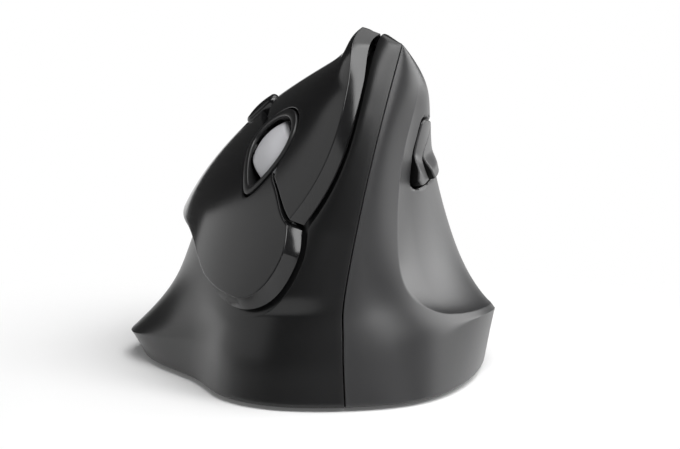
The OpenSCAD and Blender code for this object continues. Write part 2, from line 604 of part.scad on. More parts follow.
module wheel_switch() {
  color([0.25, 0.25, 0.26]) in_frame(wheel_frame) translate([wheel_at[0], wheel_at[1], cage_n]) {
    block(-switch_w / 2, switch_w / 2, -switch_w / 2, switch_w / 2, 0, click_switch_h - stud_h);
    translate([0, 0, click_switch_h - stud_h - eps]) cylinder(h = stud_h + eps, d = button_stud_d);
  }
}
module chassis() {
  f = wheel_at[0];
  s = wheel_at[1];
  color([0.18, 0.18, 0.19]) {
    in_frame(wheel_frame) {
      difference() {
        block(board_f[0], board_f[1], board_s[0], board_s[1], chassis_n - chassis_t, chassis_n);
        translate([f, s, 0]) cube([2 * well[0], 2 * well[1], 40], center = true);
      }
      for (e = [[f + well[0], f + well[0] + cage_t], [board_f[0], f - well[0]]])
        block(e[0], e[1], s + cage_s[0], s + cage_s[1], cage_n - cage_t, chassis_n - chassis_t + eps);
      block(board_f[0], f + well[0] + cage_t, s + cage_s[0], s + cage_s[1], cage_n - cage_t, cage_n);
    }
    difference() {
      block(leg_x[0], leg_x[1], leg_y[0], leg_y[1], plate_top, body_h);
      in_frame(wheel_frame) block(-90, 90, -90, 90, chassis_n - chassis_t / 2, 90);
    }
  }
}
module button_board() {
  color([0.1, 0.3, 0.18]) in_frame(wheel_frame) difference() {
    block(board_f[0], board_f[1], board_s[0], board_s[1], board_n - board_t, board_n);
    translate([wheel_at[0], wheel_at[1], 0]) cube([2 * well[0], 2 * well[1], 40], center = true);
  }
}
module tact(spot) {
  color([0.13, 0.13, 0.14]) in_frame(wheel_frame) translate([spot[0], spot[1], board_n]) {
    block(-switch_w / 2, switch_w / 2, -switch_w / 2, switch_w / 2, 0, switch_h - stud_h);
    translate([0, 0, switch_h - stud_h - eps]) cylinder(h = stud_h + eps, d = button_stud_d);
  }
}
module upper_switch() tact(upper_spot);
module lower_switch() tact(lower_spot);
module plunger(spot) {
  color([0.09, 0.09, 0.1]) in_frame(wheel_frame) translate([spot[0], spot[1], plunger_low])
    cylinder(h = spot[2] - gap - plunger_low, d = plunger_d);
}
module upper_plunger() plunger(upper_spot);
module lower_plunger() plunger(lower_spot);

module dpi_button() {
  color([0.08, 0.08, 0.09]) in_frame(dpi_frame) {
    translate([0, dpi_shift, dpi_under]) rotate(90)
      pill(dpi_size[0], dpi_size[1], panel_h + dpi_proud - dpi_under);
    translate([0, 0, dpi_stem_n]) cylinder(h = dpi_under - dpi_stem_n + eps, d = dpi_stem_d);
  }
}
module dpi_switch() {
  color([0.13, 0.13, 0.14]) in_frame(dpi_frame)
    block(-dpi_switch_w / 2, dpi_switch_w / 2, -dpi_switch_w / 2, dpi_switch_w / 2, dpi_board_n,
      dpi_board_n + dpi_switch_h);
}
module dpi_board() {
  color([0.1, 0.3, 0.18]) in_frame(dpi_frame) {
    block(-5.2, 2.3, -3.4, 3.4, dpi_board_n - 1.2, dpi_board_n);
    for (s = [-1, 1]) translate([-4, s * 2.2, dpi_board_n - eps])
      cylinder(h = dpi_post_n - dpi_board_n, d = 1.8);
  }
}

side_rows = [0, 0.08, 0.2, 0.35, 0.5, 0.65, 0.8, 0.92, 1];
side_cols = [0, 0.05, 0.14, 0.3, 0.5, 0.7, 0.86, 0.95, 1];
// Height of a thumb button over the shell: flush along its top, proud along its lower edge
function side_rise(p, q) = 0.15 + side_h * smooth((0.5 - q) / 0.35) * mix(1, 0.7, p)
  * (0.75 + 0.25 * sqrt(1 - pow(max(1 - q / 0.1, 0), 2)));
module side_button(forward) {
  spots = [for (p = side_cols) [for (q = side_rows) let (
      u = forward
        ? mix(side_us[0] + 2 * side_gap, side_split(q) - side_gap, p)
        : mix(side_split(q) + side_gap, side_us[2] - side_gap, p),
      h = side_half(u) - side_gap
    ) [u, side_mid(u) + (2 * q - 1) * h, side_rise(p, q)]]];
  color([0.1, 0.1, 0.11]) slab(
    [for (r = spots) [for (p = r) skin(p[0], p[1], p[2])]],
    [for (r = spots) [for (p = r) inner(p[0], p[1], side_in)]]
  );
}
module forward_button() side_button(true);
module back_button() side_button(false);
function side_back(u) = to_frame(side_frame, inner(u, side_mid(u), side_in));
side_spots = [for (u = side_switch_us) side_back(u)];
module side_switches() {
  color([0.13, 0.13, 0.14]) in_frame(side_frame) for (p = side_spots)
    translate([p[0], p[1], side_board_n]) {
      w = side_switch[0] / 2;
      block(-w, w, -w, w, 0, side_switch[1]);
      translate([0, 0, side_switch[1] - eps])
        cylinder(h = p[2] - side_travel - gap - side_board_n - side_switch[1], d = button_stud_d);
    }
}
module side_board() {
  w = side_board_size;
  color([0.1, 0.3, 0.18]) in_frame(side_frame)
    block(-w[0] / 2, w[0] / 2, -w[1] / 2, w[1] / 2, side_board_n - side_board_t, side_board_n);
}
module side_bracket() {
  n = side_board_n - side_board_t;
  color([0.18, 0.18, 0.19]) {
    in_frame(side_frame) block(-4, 9, -side_drop, side_board_size[1] / 2, n - side_bracket_t, n);
    difference() {
      union() {
        block(side_leg_x[0], side_leg_x[1], side_leg_y[0], side_leg_y[1], plate_top, side_arm[1]);
        block(0, side_leg_x[1], side_leg_y[0], side_leg_y[1], side_arm[0], side_arm[1]);
      }
      in_frame(side_frame) block(-90, 90, -90, 90, -90, n - side_bracket_t / 2);
    }
  }
}

module main_board() {
  color([0.1, 0.3, 0.18]) difference() {
    block(main_x[0], main_x[1], main_y[0], main_y[1], board_z, board_z + board_t);
    for (p = stand_at) translate([p[0], p[1], board_z - 1]) cylinder(h = 5, d = stand_bore + 0.4);
  }
}
module sensor() {
  color([0.08, 0.08, 0.08]) translate([sensor_at[0], sensor_at[1], 0])
    block(-5, 5, -6, 6, board_z - sensor_h, board_z);
}
module sensor_lens() {
  color([0.75, 0.8, 0.85]) translate([sensor_at[0], sensor_at[1], 0]) {
    translate([0, 0, plate_z + lens_lift]) cylinder(h = plate_t - lens_lift + eps, d = lens_d - 2 * gap);
    translate([0, 0, plate_top]) cylinder(h = stand_h - sensor_h, d = lens_rim_d);
  }
}
module battery() {
  color([0.45, 0.45, 0.47]) translate([door_x, cell_y, cell_z]) rotate([-90, 0, 0]) {
    cylinder(h = cell_l, d = cell_d);
    translate([0, 0, cell_l - eps]) cylinder(h = cell_nub[1], d = cell_nub[0]);
  }
}
module battery_spring() {
  l = cell_y - door_y[0] - contact_t - 0.1;
  color([0.72, 0.72, 0.74]) translate([door_x, door_y[0] + contact_t, cell_z]) rotate([-90, 0, 0])
    rotate_extrude() polygon([[4.6, 0], [5.4, 0], [3.8, l], [3, l]]);
}
module battery_contact() {
  color([0.75, 0.75, 0.77]) {
    translate([door_x, door_y[0], cell_z]) block(-5.6, 5.6, 0, contact_t, -4, 4);
    translate([door_x, cell_y + cell_l + cell_nub[1], cell_z]) block(-4, 4, 0, contact_t, -4, 4);
  }
}
module battery_cradle() {
  x = door_w / 2 + gap;
  y1 = cell_y + cell_l + cell_nub[1] + contact_t;
  color([0.1, 0.1, 0.11]) difference() {
    block(door_x - x - cradle_t, door_x + x + cradle_t, door_y[0] - cradle_t, door_y[1] + cradle_t,
      plate_top, plate_top + cradle_h);
    block(door_x - x, door_x + x, door_y[0], y1, 0, 40);
  }
}
module battery_door() {
  color([0.1, 0.1, 0.11]) {
    block(door_x - door_w / 2, door_x + door_w / 2, door_axis[0], door_y[1] - gap,
      plate_z, plate_z + door_t);
    translate([door_x, door_axis[0], door_axis[1]]) rotate([0, 90, 0]) {
      cylinder(h = door_w, r = door_barrel_r, center = true);
      cylinder(h = door_w + 2 * door_pin_l, d = door_pin_d, center = true);
    }
  }
}
module power_knob() {
  color([0.35, 0.35, 0.36]) translate([knob_at[0], knob_at[1] - knob_travel / 2, 0])
    block(-knob_size[0] / 2, knob_size[0] / 2, -knob_size[1] / 2, knob_size[1] / 2,
      plate_z + gap, plate_top - gap / 2);
}
module power_switch() {
  w = knob_slot[0] / 2 + 2;
  l = knob_slot[1] / 2 + 2;
  color([0.16, 0.16, 0.17]) translate([knob_at[0], knob_at[1], plate_top])
    block(-w, w, -l, l, 0, power_switch_h);
}
module receiver() {
  color([0.14, 0.14, 0.15]) translate([socket_at[0], socket_at[1], plate_z + 0.2]) {
    block(-stick[0] / 2, stick[0] / 2, -stick[1] / 2, stick[1] / 2, 0, stick[2]);
    block(-plug[0] / 2, plug[0] / 2, -plug[1] / 2, plug[1] / 2, stick[2] - eps, stick[2] + plug[2]);
  }
}
module socket_hole(size, z0, z1) {
  block(-size[0] / 2 - gap, size[0] / 2 + gap, -size[1] / 2 - gap, size[1] / 2 + gap, z0, z1);
}
module receiver_socket() {
  w = stick[0] / 2 + gap + socket_wall;
  d = stick[1] / 2 + gap + socket_wall;
  color([0.1, 0.1, 0.11]) translate([socket_at[0], socket_at[1], 0]) difference() {
    block(-w, w, -d, d, plate_top, plate_z + stick[2] + plug[2] + 2);
    socket_hole(stick, 0, plate_z + stick[2] + 0.5);
    socket_hole(plug, 0, plate_z + stick[2] + plug[2] + 0.5);
  }
}
module feet() {
  color([0.3, 0.3, 0.31]) {
    for (f = foot_pads) translate([f[0], f[1], 0]) rotate(f[2]) pill(f[3], f[4], foot_h);
  }
}
module shell_bosses() {
  color([0.13, 0.13, 0.14]) for (p = boss_at) translate([p[0], p[1], plate_top]) difference() {
    cylinder(h = p[2] - plate_top, d = boss_d);
    translate([0, 0, -1]) cylinder(h = 8, d = boss_bore);
  }
}
module shell_screws() {
  color([0.6, 0.6, 0.62]) for (p = boss_at) translate([p[0], p[1], plate_z + 1 - screw_head[1]]) {
    cylinder(h = screw_head[1], d = screw_head[0]);
    cylinder(h = shell_screw_l, d = boss_bore - 2 * run);
  }
}
module board_screws() {
  color([0.6, 0.6, 0.62]) for (p = stand_at) translate([p[0], p[1], board_z + board_t]) {
    cylinder(h = board_screw_head[1], d = board_screw_head[0]);
    translate([0, 0, -board_t - 2.5]) cylinder(h = board_t + 2.6, d = stand_bore);
  }
}

base_plate();
finger_shell();
thumb_shell();
upper_button();
lower_button();
palm_cover();
hinge_pins();
wheel_ring();
wheel_tyre();
wheel_hub();
wheel_axle();
wheel_carrier();
encoder();
wheel_switch();
chassis();
button_board();
upper_switch();
lower_switch();
upper_plunger();
lower_plunger();
dpi_button();
dpi_switch();
dpi_board();
forward_button();
back_button();
side_switches();
side_board();
side_bracket();
main_board();
sensor();
sensor_lens();
battery();
battery_spring();
battery_contact();
battery_cradle();
battery_door();
power_knob();
power_switch();
receiver();
receiver_socket();
feet();
shell_bosses();
shell_screws();
board_screws();
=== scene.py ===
import math

import bmesh
import bpy
import numpy as np
from mathutils import Matrix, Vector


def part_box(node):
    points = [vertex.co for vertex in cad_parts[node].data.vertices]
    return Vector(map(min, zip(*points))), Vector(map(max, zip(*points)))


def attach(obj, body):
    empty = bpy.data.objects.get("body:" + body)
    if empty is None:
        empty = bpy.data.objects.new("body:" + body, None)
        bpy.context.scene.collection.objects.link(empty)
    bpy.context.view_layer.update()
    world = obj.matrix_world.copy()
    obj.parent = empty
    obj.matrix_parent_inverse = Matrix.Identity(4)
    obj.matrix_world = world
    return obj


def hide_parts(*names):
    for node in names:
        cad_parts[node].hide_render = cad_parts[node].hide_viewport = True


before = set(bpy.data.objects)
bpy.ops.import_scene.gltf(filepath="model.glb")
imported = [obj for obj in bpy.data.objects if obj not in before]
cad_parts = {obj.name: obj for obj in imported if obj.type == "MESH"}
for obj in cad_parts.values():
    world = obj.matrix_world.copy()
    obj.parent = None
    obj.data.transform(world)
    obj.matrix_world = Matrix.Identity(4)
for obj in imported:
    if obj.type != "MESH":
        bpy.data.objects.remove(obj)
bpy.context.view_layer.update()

# Vertical mouse for the right hand. Lengths are in millimetres until a mesh is made.
MM = 0.001
BODY = np.array([81.0, 110.0, 76.0])
FOOT_H = 0.8
WALL = 2.2
SCOOP_DEPTH = 1.7
PANEL_H = 4.2
BAND_W = 3.0
BUTTON_T = 1.5
PRESS_GAP = 1.1
SPINE_H = 1.6
WHEEL_R = 9.2
WHEEL_W = 10.6
WHEEL_PROUD = 0.8
DPI_PROUD = 1.3
SIDE_H = 1.5

UP = np.array([0, 0, 1.0])
TINY = 1e-9


def clamp(x):
    return np.clip(x, 0, 1)


def smooth(x):
    t = clamp(x)
    return t * t * (3 - 2 * t)


def step(x, start, run):
    """Smooth step from 0 at its start to 1 at the end of its run, which can be negative."""
    return smooth((x - start) / run)


def mix(a, b, t):
    return a + (b - a) * t


def unit(p):
    return p / np.linalg.norm(p, axis=-1, keepdims=True)


# The body's skin: fourteen upright guide lines, nose first and round by the thumb side. Each has
# six points: base, skirt edge, low, middle, high and shoulder.
GUIDES = np.array([
    [[8, -55, 0], [7.6, -53.5, 11], [8, -51, 22], [11, -47.5, 38], [14.8, -43, 55], [19.3, -36, 71.2]],
    [[23.5, -49.5, 0], [22.5, -46.5, 14], [18.8, -43.2, 25], [18.2, -40, 38], [20, -37, 54],
     [23.7, -32.5, 67.3]],
    [[33, -34.5, 0], [33, -32.5, 14], [27.5, -31, 23.5], [24.8, -30.5, 36], [24.3, -29.5, 50],
     [25.6, -26, 64.8]],
    [[37.4, -18, 0], [39.3, -18, 13.5], [33.2, -17, 23], [29.4, -17.5, 36], [27.1, -18, 50],
     [25, -17, 63.5]],
    [[38.8, 0, 0], [41, -1, 11.5], [35.2, 0, 21.5], [30.6, 0, 35], [27, -1.5, 48.5], [22.8, -4, 60.5]],
    [[33.5, 22, 0], [35, 22, 8.5], [30.5, 20, 18], [26, 18, 29.5], [22, 16, 42], [18, 12.5, 54.5]],
    [[20, 43, 0], [21, 43.5, 7], [20, 40.5, 15], [17.5, 36, 25], [15, 31.5, 35.5], [12, 28, 45]],
    [[0, 55, 0], [0, 55.5, 6.5], [0.5, 54, 13], [1.5, 51, 20], [2.5, 47, 27], [4, 42, 34]],
    [[-21, 41, 0], [-23, 42, 5.5], [-20.5, 39.5, 15], [-17, 36.5, 25], [-11, 33, 34.5], [-1, 30, 44]],
    [[-35, 13, 0], [-37.5, 14, 5.5], [-29, 14, 16], [-24.1, 14.5, 29], [-15.1, 15, 41.6], [1, 16, 54.5]],
    [[-35, -9.5, 0], [-38.6, -5, 6], [-28, -3, 18.2], [-23.6, -1, 31.8], [-13.3, -1, 47.1], [6, -4, 62.5]],
    [[-23.5, -28, 0], [-23, -27.3, 9], [-21.5, -25, 20], [-14.5, -22, 38], [-2.5, -20, 55],
     [11.5, -19.5, 68]],
    [[-18.8, -43, 0], [-17.7, -42, 10], [-15.5, -39, 19.5], [-6, -35, 38], [3.5, -31.5, 56],
     [13.6, -27.5, 71.6]],
    [[-7.5, -53.8, 0], [-7, -51.7, 10.5], [-5.5, -47.5, 22], [1.5, -43, 38], [9, -39, 55],
     [15.3, -32.8, 73.6]],
])
# How softly the skirt edge turns at each guide
SOFTNESS = np.array([0.5, 0.42, 0.2, 0.14, 0.14, 0.2, 0.3, 0.3, 0.3, 0.2, 0.15, 0.3, 0.5, 0.5])
# The size at which the guides were drawn
DRAWN = np.array([81.2, 110.0, 76.7])
DRAWN_FOOT = 0.8
# On the skin, u counts the guides round the body and v the rows from the base up to the ridge
TURN = len(GUIDES)
TAIL = TURN / 2
RIDGE = 7.5
RIDGE_NORMAL = RIDGE - 0.04
LAST_ROW = int(RIDGE)
# Millimetres in one step of u and of v, roughly
STEP_MM = np.array([14.0, 9.0])


def skin_net():
    """Control points of the skin, closed over the ridge by the guide on the other side."""
    p = np.maximum(GUIDES - DRAWN_FOOT * UP, np.where(UP > 0, 0, -np.inf))
    p = p * (BODY - FOOT_H * UP) / (DRAWN - DRAWN_FOOT * UP) + FOOT_H * UP
    s = SOFTNESS[:, None]
    base, edge, low, middle, high, shoulder = (p[:, k] for k in range(6))
    rows = [base, mix(edge, base, s), edge, mix(edge, low, s), low, middle, high, shoulder]
    over = [np.roll(r[::-1], 1, axis=0) for r in (shoulder, high, middle)]
    net = np.stack([2 * rows[0] - rows[1]] + rows + over, axis=1)
    # Sharpened both ways, because the spline runs inside its control points
    net = net - (np.roll(net, 1, 0) - 2 * net + np.roll(net, -1, 0)) / 6
    net[:, 1:-1] = net[:, 1:-1] - (net[:, :-2] - 2 * net[:, 1:-1] + net[:, 2:]) / 6
    return net


NET = skin_net()


def weights(t):
    """Shares of four neighbouring control points in a cubic spline."""
    return np.stack([(1 - t) ** 3, 3 * t ** 3 - 6 * t ** 2 + 4,
                     -3 * t ** 3 + 3 * t ** 2 + 3 * t + 1, t ** 3], axis=-1) / 6


def slopes(t):
    """How fast those shares change."""
    return np.stack([-(1 - t) ** 2, 3 * t ** 2 - 4 * t, -3 * t ** 2 + 2 * t + 1, t ** 2], axis=-1) / 2


def skin_at(u, v):
    """Points and outward normals of the skin."""
    u, v = np.broadcast_arrays(np.asarray(u, float), np.asarray(v, float))
    i = np.floor(u).astype(int)
    k = np.minimum(np.floor(v).astype(int), LAST_ROW)
    around = (i[..., None] + np.arange(-1, 3)) % TURN
    up = k[..., None] + np.arange(4)
    patch = NET[around[..., :, None], up[..., None, :]]
    blend = "...a,...b,...abc->...c"
    place = np.einsum(blend, weights(u - i), weights(v - k), patch)
    along_u = np.einsum(blend, slopes(u - i), weights(v - k), patch)
    along_v = np.einsum(blend, weights(u - i), slopes(v - k), patch)
    return place, unit(np.cross(along_u, along_v))


# Thumb scoop: where its rim starts and how far it runs in u and v, and where it fades
SCOOP_RIM = (1.08, 2.9)
SCOOP_RUN = (0.75, 1.5)
SCOOP_REAR_FADE = (5.2, -2.6)
SCOOP_TOP_FADE = (7, -1.3)


def scoop(u, v):
    """Depth of the thumb scoop: crisp at its rim, soft inside, fading to the rear and the top."""
    a = np.maximum(1 - (u - SCOOP_RIM[0]) / SCOOP_RUN[0], 0)
    b = np.maximum(1 - (v - SCOOP_RIM[1]) / SCOOP_RUN[1], 0)
    s = clamp(1 - np.hypot(a, b))
    deep = SCOOP_DEPTH * (1 - (1 - s) ** 2) * step(u, *SCOOP_REAR_FADE) * step(v, *SCOOP_TOP_FADE)
    return np.where(u > TAIL, 0, deep)


def skin_normal(u, v):
    return skin_at(u, np.minimum(v, RIDGE_NORMAL))[1]


def skin(u, v, out=0.0):
    """Points of the skin moved out along its normals."""
    u, v, out = np.broadcast_arrays(np.asarray(u, float), np.asarray(v, float), np.asarray(out, float))
    return skin_at(u, v)[0] + (out - scoop(u, v))[..., None] * skin_normal(u, v)


# Middle of the hollow: its x leans with the height, its y follows the skin, and its height is a
# length and a share of the skin's height on the finger side and on the thumb side
HOLLOW_X = (4, 0.15)
HOLLOW_Y = 0.6
HOLLOW_FINGER = (6, 0.42)
HOLLOW_THUMB = (1, 0.85)
HOLLOW_SIDES = (14, 10)
HOLLOW_RISE = 15


def inward(p):
    """Ways from points of the skin to the hollow inside."""
    x, y, z = p[..., 0], p[..., 1], p[..., 2]
    finger_side = HOLLOW_FINGER[1] * z + HOLLOW_FINGER[0]
    thumb_side = HOLLOW_THUMB[1] * z + HOLLOW_THUMB[0]
    deep = mix(finger_side, thumb_side, step(x, *HOLLOW_SIDES))
    height = mix(z, deep, step(z, FOOT_H, HOLLOW_RISE))
    centre = np.stack([HOLLOW_X[0] + HOLLOW_X[1] * z, HOLLOW_Y * y, height], axis=-1)
    return unit(centre - p)


def frame_at(u, v, way):
    """A frame on the skin: its origin, x along a way, y, and z out of the skin."""
    normal = skin_at(u, v)[1]
    x = unit(way - normal * np.dot(way, normal))
    return np.array([skin(u, v), x, np.cross(normal, x), normal])


def from_frame(f, p):
    """Points of a frame on the skin, in the body's own frame."""
    p = np.asarray(p, float)
    return f[0] + p[..., 0:1] * f[1] + p[..., 1:2] * f[2] + p[..., 2:3] * f[3]


# Finishes
class Value:
    """A socket of a finish; sums, differences and products of values add Math nodes."""

    def __init__(self, finish, socket):
        self.finish = finish
        self.socket = socket

    def math(self, operation, a, b):
        return self.finish.node("ShaderNodeMath", {"operation": operation}, {0: a, 1: b})

    def __add__(self, other):
        return self.math("ADD", self, other)

    def __sub__(self, other):
        return self.math("SUBTRACT", self, other)

    def __rsub__(self, other):
        return self.math("SUBTRACT", other, self)

    def __mul__(self, other):
        return self.math("MULTIPLY", self, other)

    __radd__ = __add__
    __rmul__ = __mul__


class Finish:
    """A material: its node tree, and the shader that its values feed."""

    def __init__(self, name, **constants):
        self.material = bpy.data.materials.new(name)
        self.material.use_nodes = True
        self.tree = self.material.node_tree
        self.shader = self.tree.nodes["Principled BSDF"]
        for words, value in constants.items():
            socket = words.replace("_", " ").title().replace("Ior", "IOR")
            self.shader.inputs[socket].default_value = value
        self.place = self.node("ShaderNodeTexCoord", out="Object")

    def node(self, kind, settings=None, sockets=None, out=0):
        """Adds a node: its settings first, then the values or links of its sockets."""
        made = self.tree.nodes.new(kind)
        for key, value in (settings or {}).items():
            if key == "stops":
                for stop, (place, level) in zip(made.color_ramp.elements, value):
                    stop.position = place
                    stop.color = (level, level, level, 1)
            else:
                setattr(made, key, value)
        for key, value in (sockets or {}).items():
            if isinstance(value, Value):
                self.tree.links.new(value.socket, made.inputs[key])
            else:
                made.inputs[key].default_value = value
        return Value(self, made.outputs[out])

    def noise(self, size_mm, detail, stretch=(1, 1, 1)):
        scale = tuple(s / (size_mm * MM) for s in stretch)
        spot = self.node("ShaderNodeMapping", {}, {"Vector": self.place, "Scale": scale})
        return self.node("ShaderNodeTexNoise", {}, {"Vector": spot, "Scale": 1.0, "Detail": detail})

    def rim(self):
        """Nearness to the piece's own edges, from 0 to 1."""
        return self.node("ShaderNodeAttribute", {"attribute_name": "rim"}, out="Fac")

    def feed(self, socket, value):
        self.tree.links.new(value.socket, self.shader.inputs[socket])

    def paint(self, factor, low, high):
        """Base colour between two; a colour Mix node has its factor in 0, its colours in 6 and 7."""
        sockets = {0: factor, 6: (*low, 1), 7: (*high, 1)}
        self.feed("Base Color", self.node("ShaderNodeMix", {"data_type": "RGBA"}, sockets, 2))

    def bump(self, height, depth_mm):
        sockets = {"Height": height, "Distance": depth_mm * MM, "Strength": 1.0}
        self.feed("Normal", self.node("ShaderNodeBump", {}, sockets, "Normal"))


BLUE_SHARE = 1.04


def grey(x):
    """A grey with a little blue."""
    return (x, x, x * BLUE_SHARE)


CLOUD_MM = 18
RUB_MM = 2.5
RUB_ROUGH = 0.05


def moulded(name, dark, light, roughness, grain_mm=0.3, grain_depth=0.006, spread=0.05, **constants):
    """Moulded plastic with a fine grain, cloudy roughness and edges rubbed a little lighter."""
    made = Finish(name, **constants)
    clouds = made.noise(CLOUD_MM, 3)
    fine = made.noise(grain_mm, 1)
    rubbed = made.rim() * made.noise(RUB_MM, 3)
    made.paint(clouds * 0.5 + rubbed * 0.5, grey(dark), grey(light))
    made.feed("Roughness", clouds * spread + fine * spread + rubbed * RUB_ROUGH + (roughness - spread))
    made.bump(fine, grain_depth)
    return made.material


def tyre_rubber():
    made = Finish("tyre_rubber")
    dust = made.noise(3.5, 4)
    fine = made.noise(0.25, 1)
    made.paint(dust, grey(0.41), grey(0.48))
    made.feed("Roughness", dust * 0.12 + 0.46)
    made.bump(fine, 0.01)
    return made.material


def turned_metal(name, dark, light, roughness):
    made = Finish(name, metallic=1.0)
    streaks = made.noise(0.8, 3, (1, 1, 0.12))
    made.paint(streaks, grey(dark), grey(light))
    made.feed("Roughness", streaks * 0.15 + roughness)
    made.bump(streaks, 0.004)
    return made.material


def solder_mask():
    """Green mask over copper tracks that stand a little proud."""
    made = Finish("solder_mask", coat_weight=0.3)
    weave = made.noise(0.6, 2)
    stops = ((0.48, 0), (0.54, 1))
    tracks = made.node("ShaderNodeValToRGB", {"stops": stops}, {"Fac": made.noise(2.2, 0, (1, 0.2, 1))})
    made.paint(tracks, (0.012, 0.07, 0.035), (0.02, 0.11, 0.055))
    made.feed("Roughness", weave * 0.15 + 0.3)
    made.bump(tracks, 0.03)
    return made.material


def clear_lens():
    made = Finish("clear_lens", transmission_weight=0.9, ior=1.5)
    haze = made.noise(1.5, 2)
    made.feed("Roughness", haze * 0.08 + 0.04)
    made.paint(haze, (0.8, 0.84, 0.88), (0.9, 0.93, 0.96))
    return made.material


CELL_SPLIT_Y = 24


def cell_wrapper():
    """Plain wrapper of the cell, dark with a pale end."""
    made = Finish("cell_wrapper", coat_weight=0.4)
    along_cell = made.node("ShaderNodeSeparateXYZ", {}, {"Vector": made.place}, "Y")
    pale_end = along_cell.math("GREATER_THAN", along_cell, CELL_SPLIT_Y * MM)
    scuffs = made.noise(1.2, 4)
    made.paint(pale_end, (0.05, 0.05, 0.055), (0.45, 0.36, 0.2))
    made.feed("Roughness", scuffs * 0.2 + 0.25)
    made.bump(scuffs, 0.01)
    return made.material


SHELL = moulded("shell_plastic", 0.005, 0.011, 0.30, specular_ior_level=0.45)
THUMB = moulded("thumb_plastic", 0.018, 0.03, 0.36, specular_ior_level=0.5)
PANEL = moulded("panel_plastic", 0.006, 0.011, 0.13, grain_mm=0.35, grain_depth=0.0003, spread=0.03)
PAINTED_SHADE = moulded("painted_shade_black", 0.002, 0.004, 0.5, specular_ior_level=0.2)
# Near-black finish for painted shade on the thumb buttons' front walls, standing in for the shadow in the
# gap there
RING = moulded("ring_plastic", 0.006, 0.011, 0.36, grain_mm=0.5, grain_depth=0.001, spread=0.03)
INNER = moulded("inner_plastic", 0.015, 0.03, 0.5)
SWITCH = moulded("switch_plastic", 0.01, 0.02, 0.45)
BASE = moulded("base_plastic", 0.012, 0.024, 0.45, grain_mm=0.45, grain_depth=0.012)
FOOT = moulded("foot_glide", 0.05, 0.08, 0.3, grain_mm=0.6, grain_depth=0.008)
KNOB = moulded("knob_plastic", 0.07, 0.1, 0.45)
TYRE = tyre_rubber()
STEEL = turned_metal("screw_steel", 0.45, 0.6, 0.22)
CONTACT = turned_metal("contact_plate", 0.6, 0.75, 0.15)
BOARD = solder_mask()
LENS = clear_lens()
CELL = cell_wrapper()


# Pieces
RIM_ROWS = 6
CREASE = 38
RUB_W = 1.2
CHUNK = 1500


def eased_steps(length, radius, count):
    """Steps from 0 to 1, close together where a rim of that radius turns."""
    turn = radius * (1 - np.cos(np.linspace(0, math.pi / 2, RIM_ROWS))) / length
    inside = np.linspace(turn[-1], 1 - turn[-1], count)[1:-1]
    return np.concatenate([turn, inside, 1 - turn[::-1]])


def finer(line, parts=4):
    """A line of points with each step cut into parts."""
    steps = np.arange(0, len(line) - 1 + TINY, 1 / parts)
    i = np.minimum(steps.astype(int), len(line) - 2)
    return mix(line[i], line[i + 1], (steps - i)[:, None])


def closed(outline):
    return np.concatenate([outline, outline[:1]])


def distance_to(points, border):
    """Distance of each point to the nearest point of a border, worked out in chunks."""
    flat = points.reshape(-1, 3)
    near = np.empty(len(flat))
    for start in range(0, len(flat), CHUNK):
        part = flat[start:start + CHUNK]
        gaps = part[:, None, :] - border[None]
        near[start:start + CHUNK] = np.sqrt(np.einsum("ijk,ijk->ij", gaps, gaps).min(axis=1))
    return near.reshape(points.shape[:-1])


def rim_drop(distance, radius):
    """How far a rim of that radius falls away at a distance from its border."""
    return radius - np.sqrt(np.maximum(radius ** 2 - np.maximum(radius - distance, 0) ** 2, 0))


def grid_border(grid, sides):
    lines = {"rear": grid[0], "front": grid[-1], "low": grid[:, 0], "top": grid[:, -1]}
    return np.concatenate([finer(lines[s]) for s in sides])


def rimmed(top, u, v, radius):
    """A grid of points on the skin with its rim turned, and their distances to its border."""
    near = distance_to(top, grid_border(top, ("rear", "front", "low", "top")))
    return top - rim_drop(near, radius)[..., None] * skin_normal(u, v), near


def slab_faces(m, n, kept):
    """Quads of a closed slab: two grids and the walls round the cells that are kept."""
    a = np.arange(m * n).reshape(m, n)
    low = m * n
    p, q, r, s = a[:-1, :-1], a[1:, :-1], a[1:, 1:], a[:-1, 1:]
    padded = np.pad(kept, 1)
    faces = [np.stack([p, q, r, s], -1)[kept], np.stack([p, s, r, q], -1)[kept] + low]
    for first, second, beside in ((p, q, padded[1:-1, :-2]), (q, r, padded[2:, 1:-1]),
                                  (r, s, padded[1:-1, 2:]), (s, p, padded[:-2, 1:-1])):
        open_side = kept & ~beside
        faces.append(np.stack([first, first + low, second + low, second], -1)[open_side])
    return np.concatenate(faces)


def linked(name, data):
    made = bpy.data.objects.new(name, data)
    bpy.context.scene.collection.objects.link(made)
    return made


def add_piece(name, points, faces, finish, body, nodes, rim=None, angle=CREASE):
    """A piece from points in millimetres, with the nearness of its edges where it is given."""
    mesh = bpy.data.meshes.new(name)
    mesh.from_pydata((np.asarray(points) * MM).tolist(), [], [list(map(int, f)) for f in faces])
    if rim is not None:
        edges = mesh.attributes.new("rim", "FLOAT", "POINT")
        edges.data.foreach_set("value", rim.astype(np.float32).ravel())
    return add_mesh(name, mesh, finish, body, nodes, angle)


def add_mesh(name, mesh, finish, body, nodes, angle=CREASE):
    """A piece from a finished mesh: loose points dropped, shaded, and put on its body."""
    clean = bmesh.new()
    clean.from_mesh(mesh)
    bmesh.ops.delete(clean, geom=[v for v in clean.verts if not v.link_faces], context="VERTS")
    clean.to_mesh(mesh)
    clean.free()
    mesh.shade_smooth()
    mesh.set_sharp_from_angle(angle=math.radians(angle))
    mesh.materials.clear()
    mesh.materials.append(finish)
    piece = linked(name, mesh)
    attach(piece, body)
    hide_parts(*nodes)
    return piece


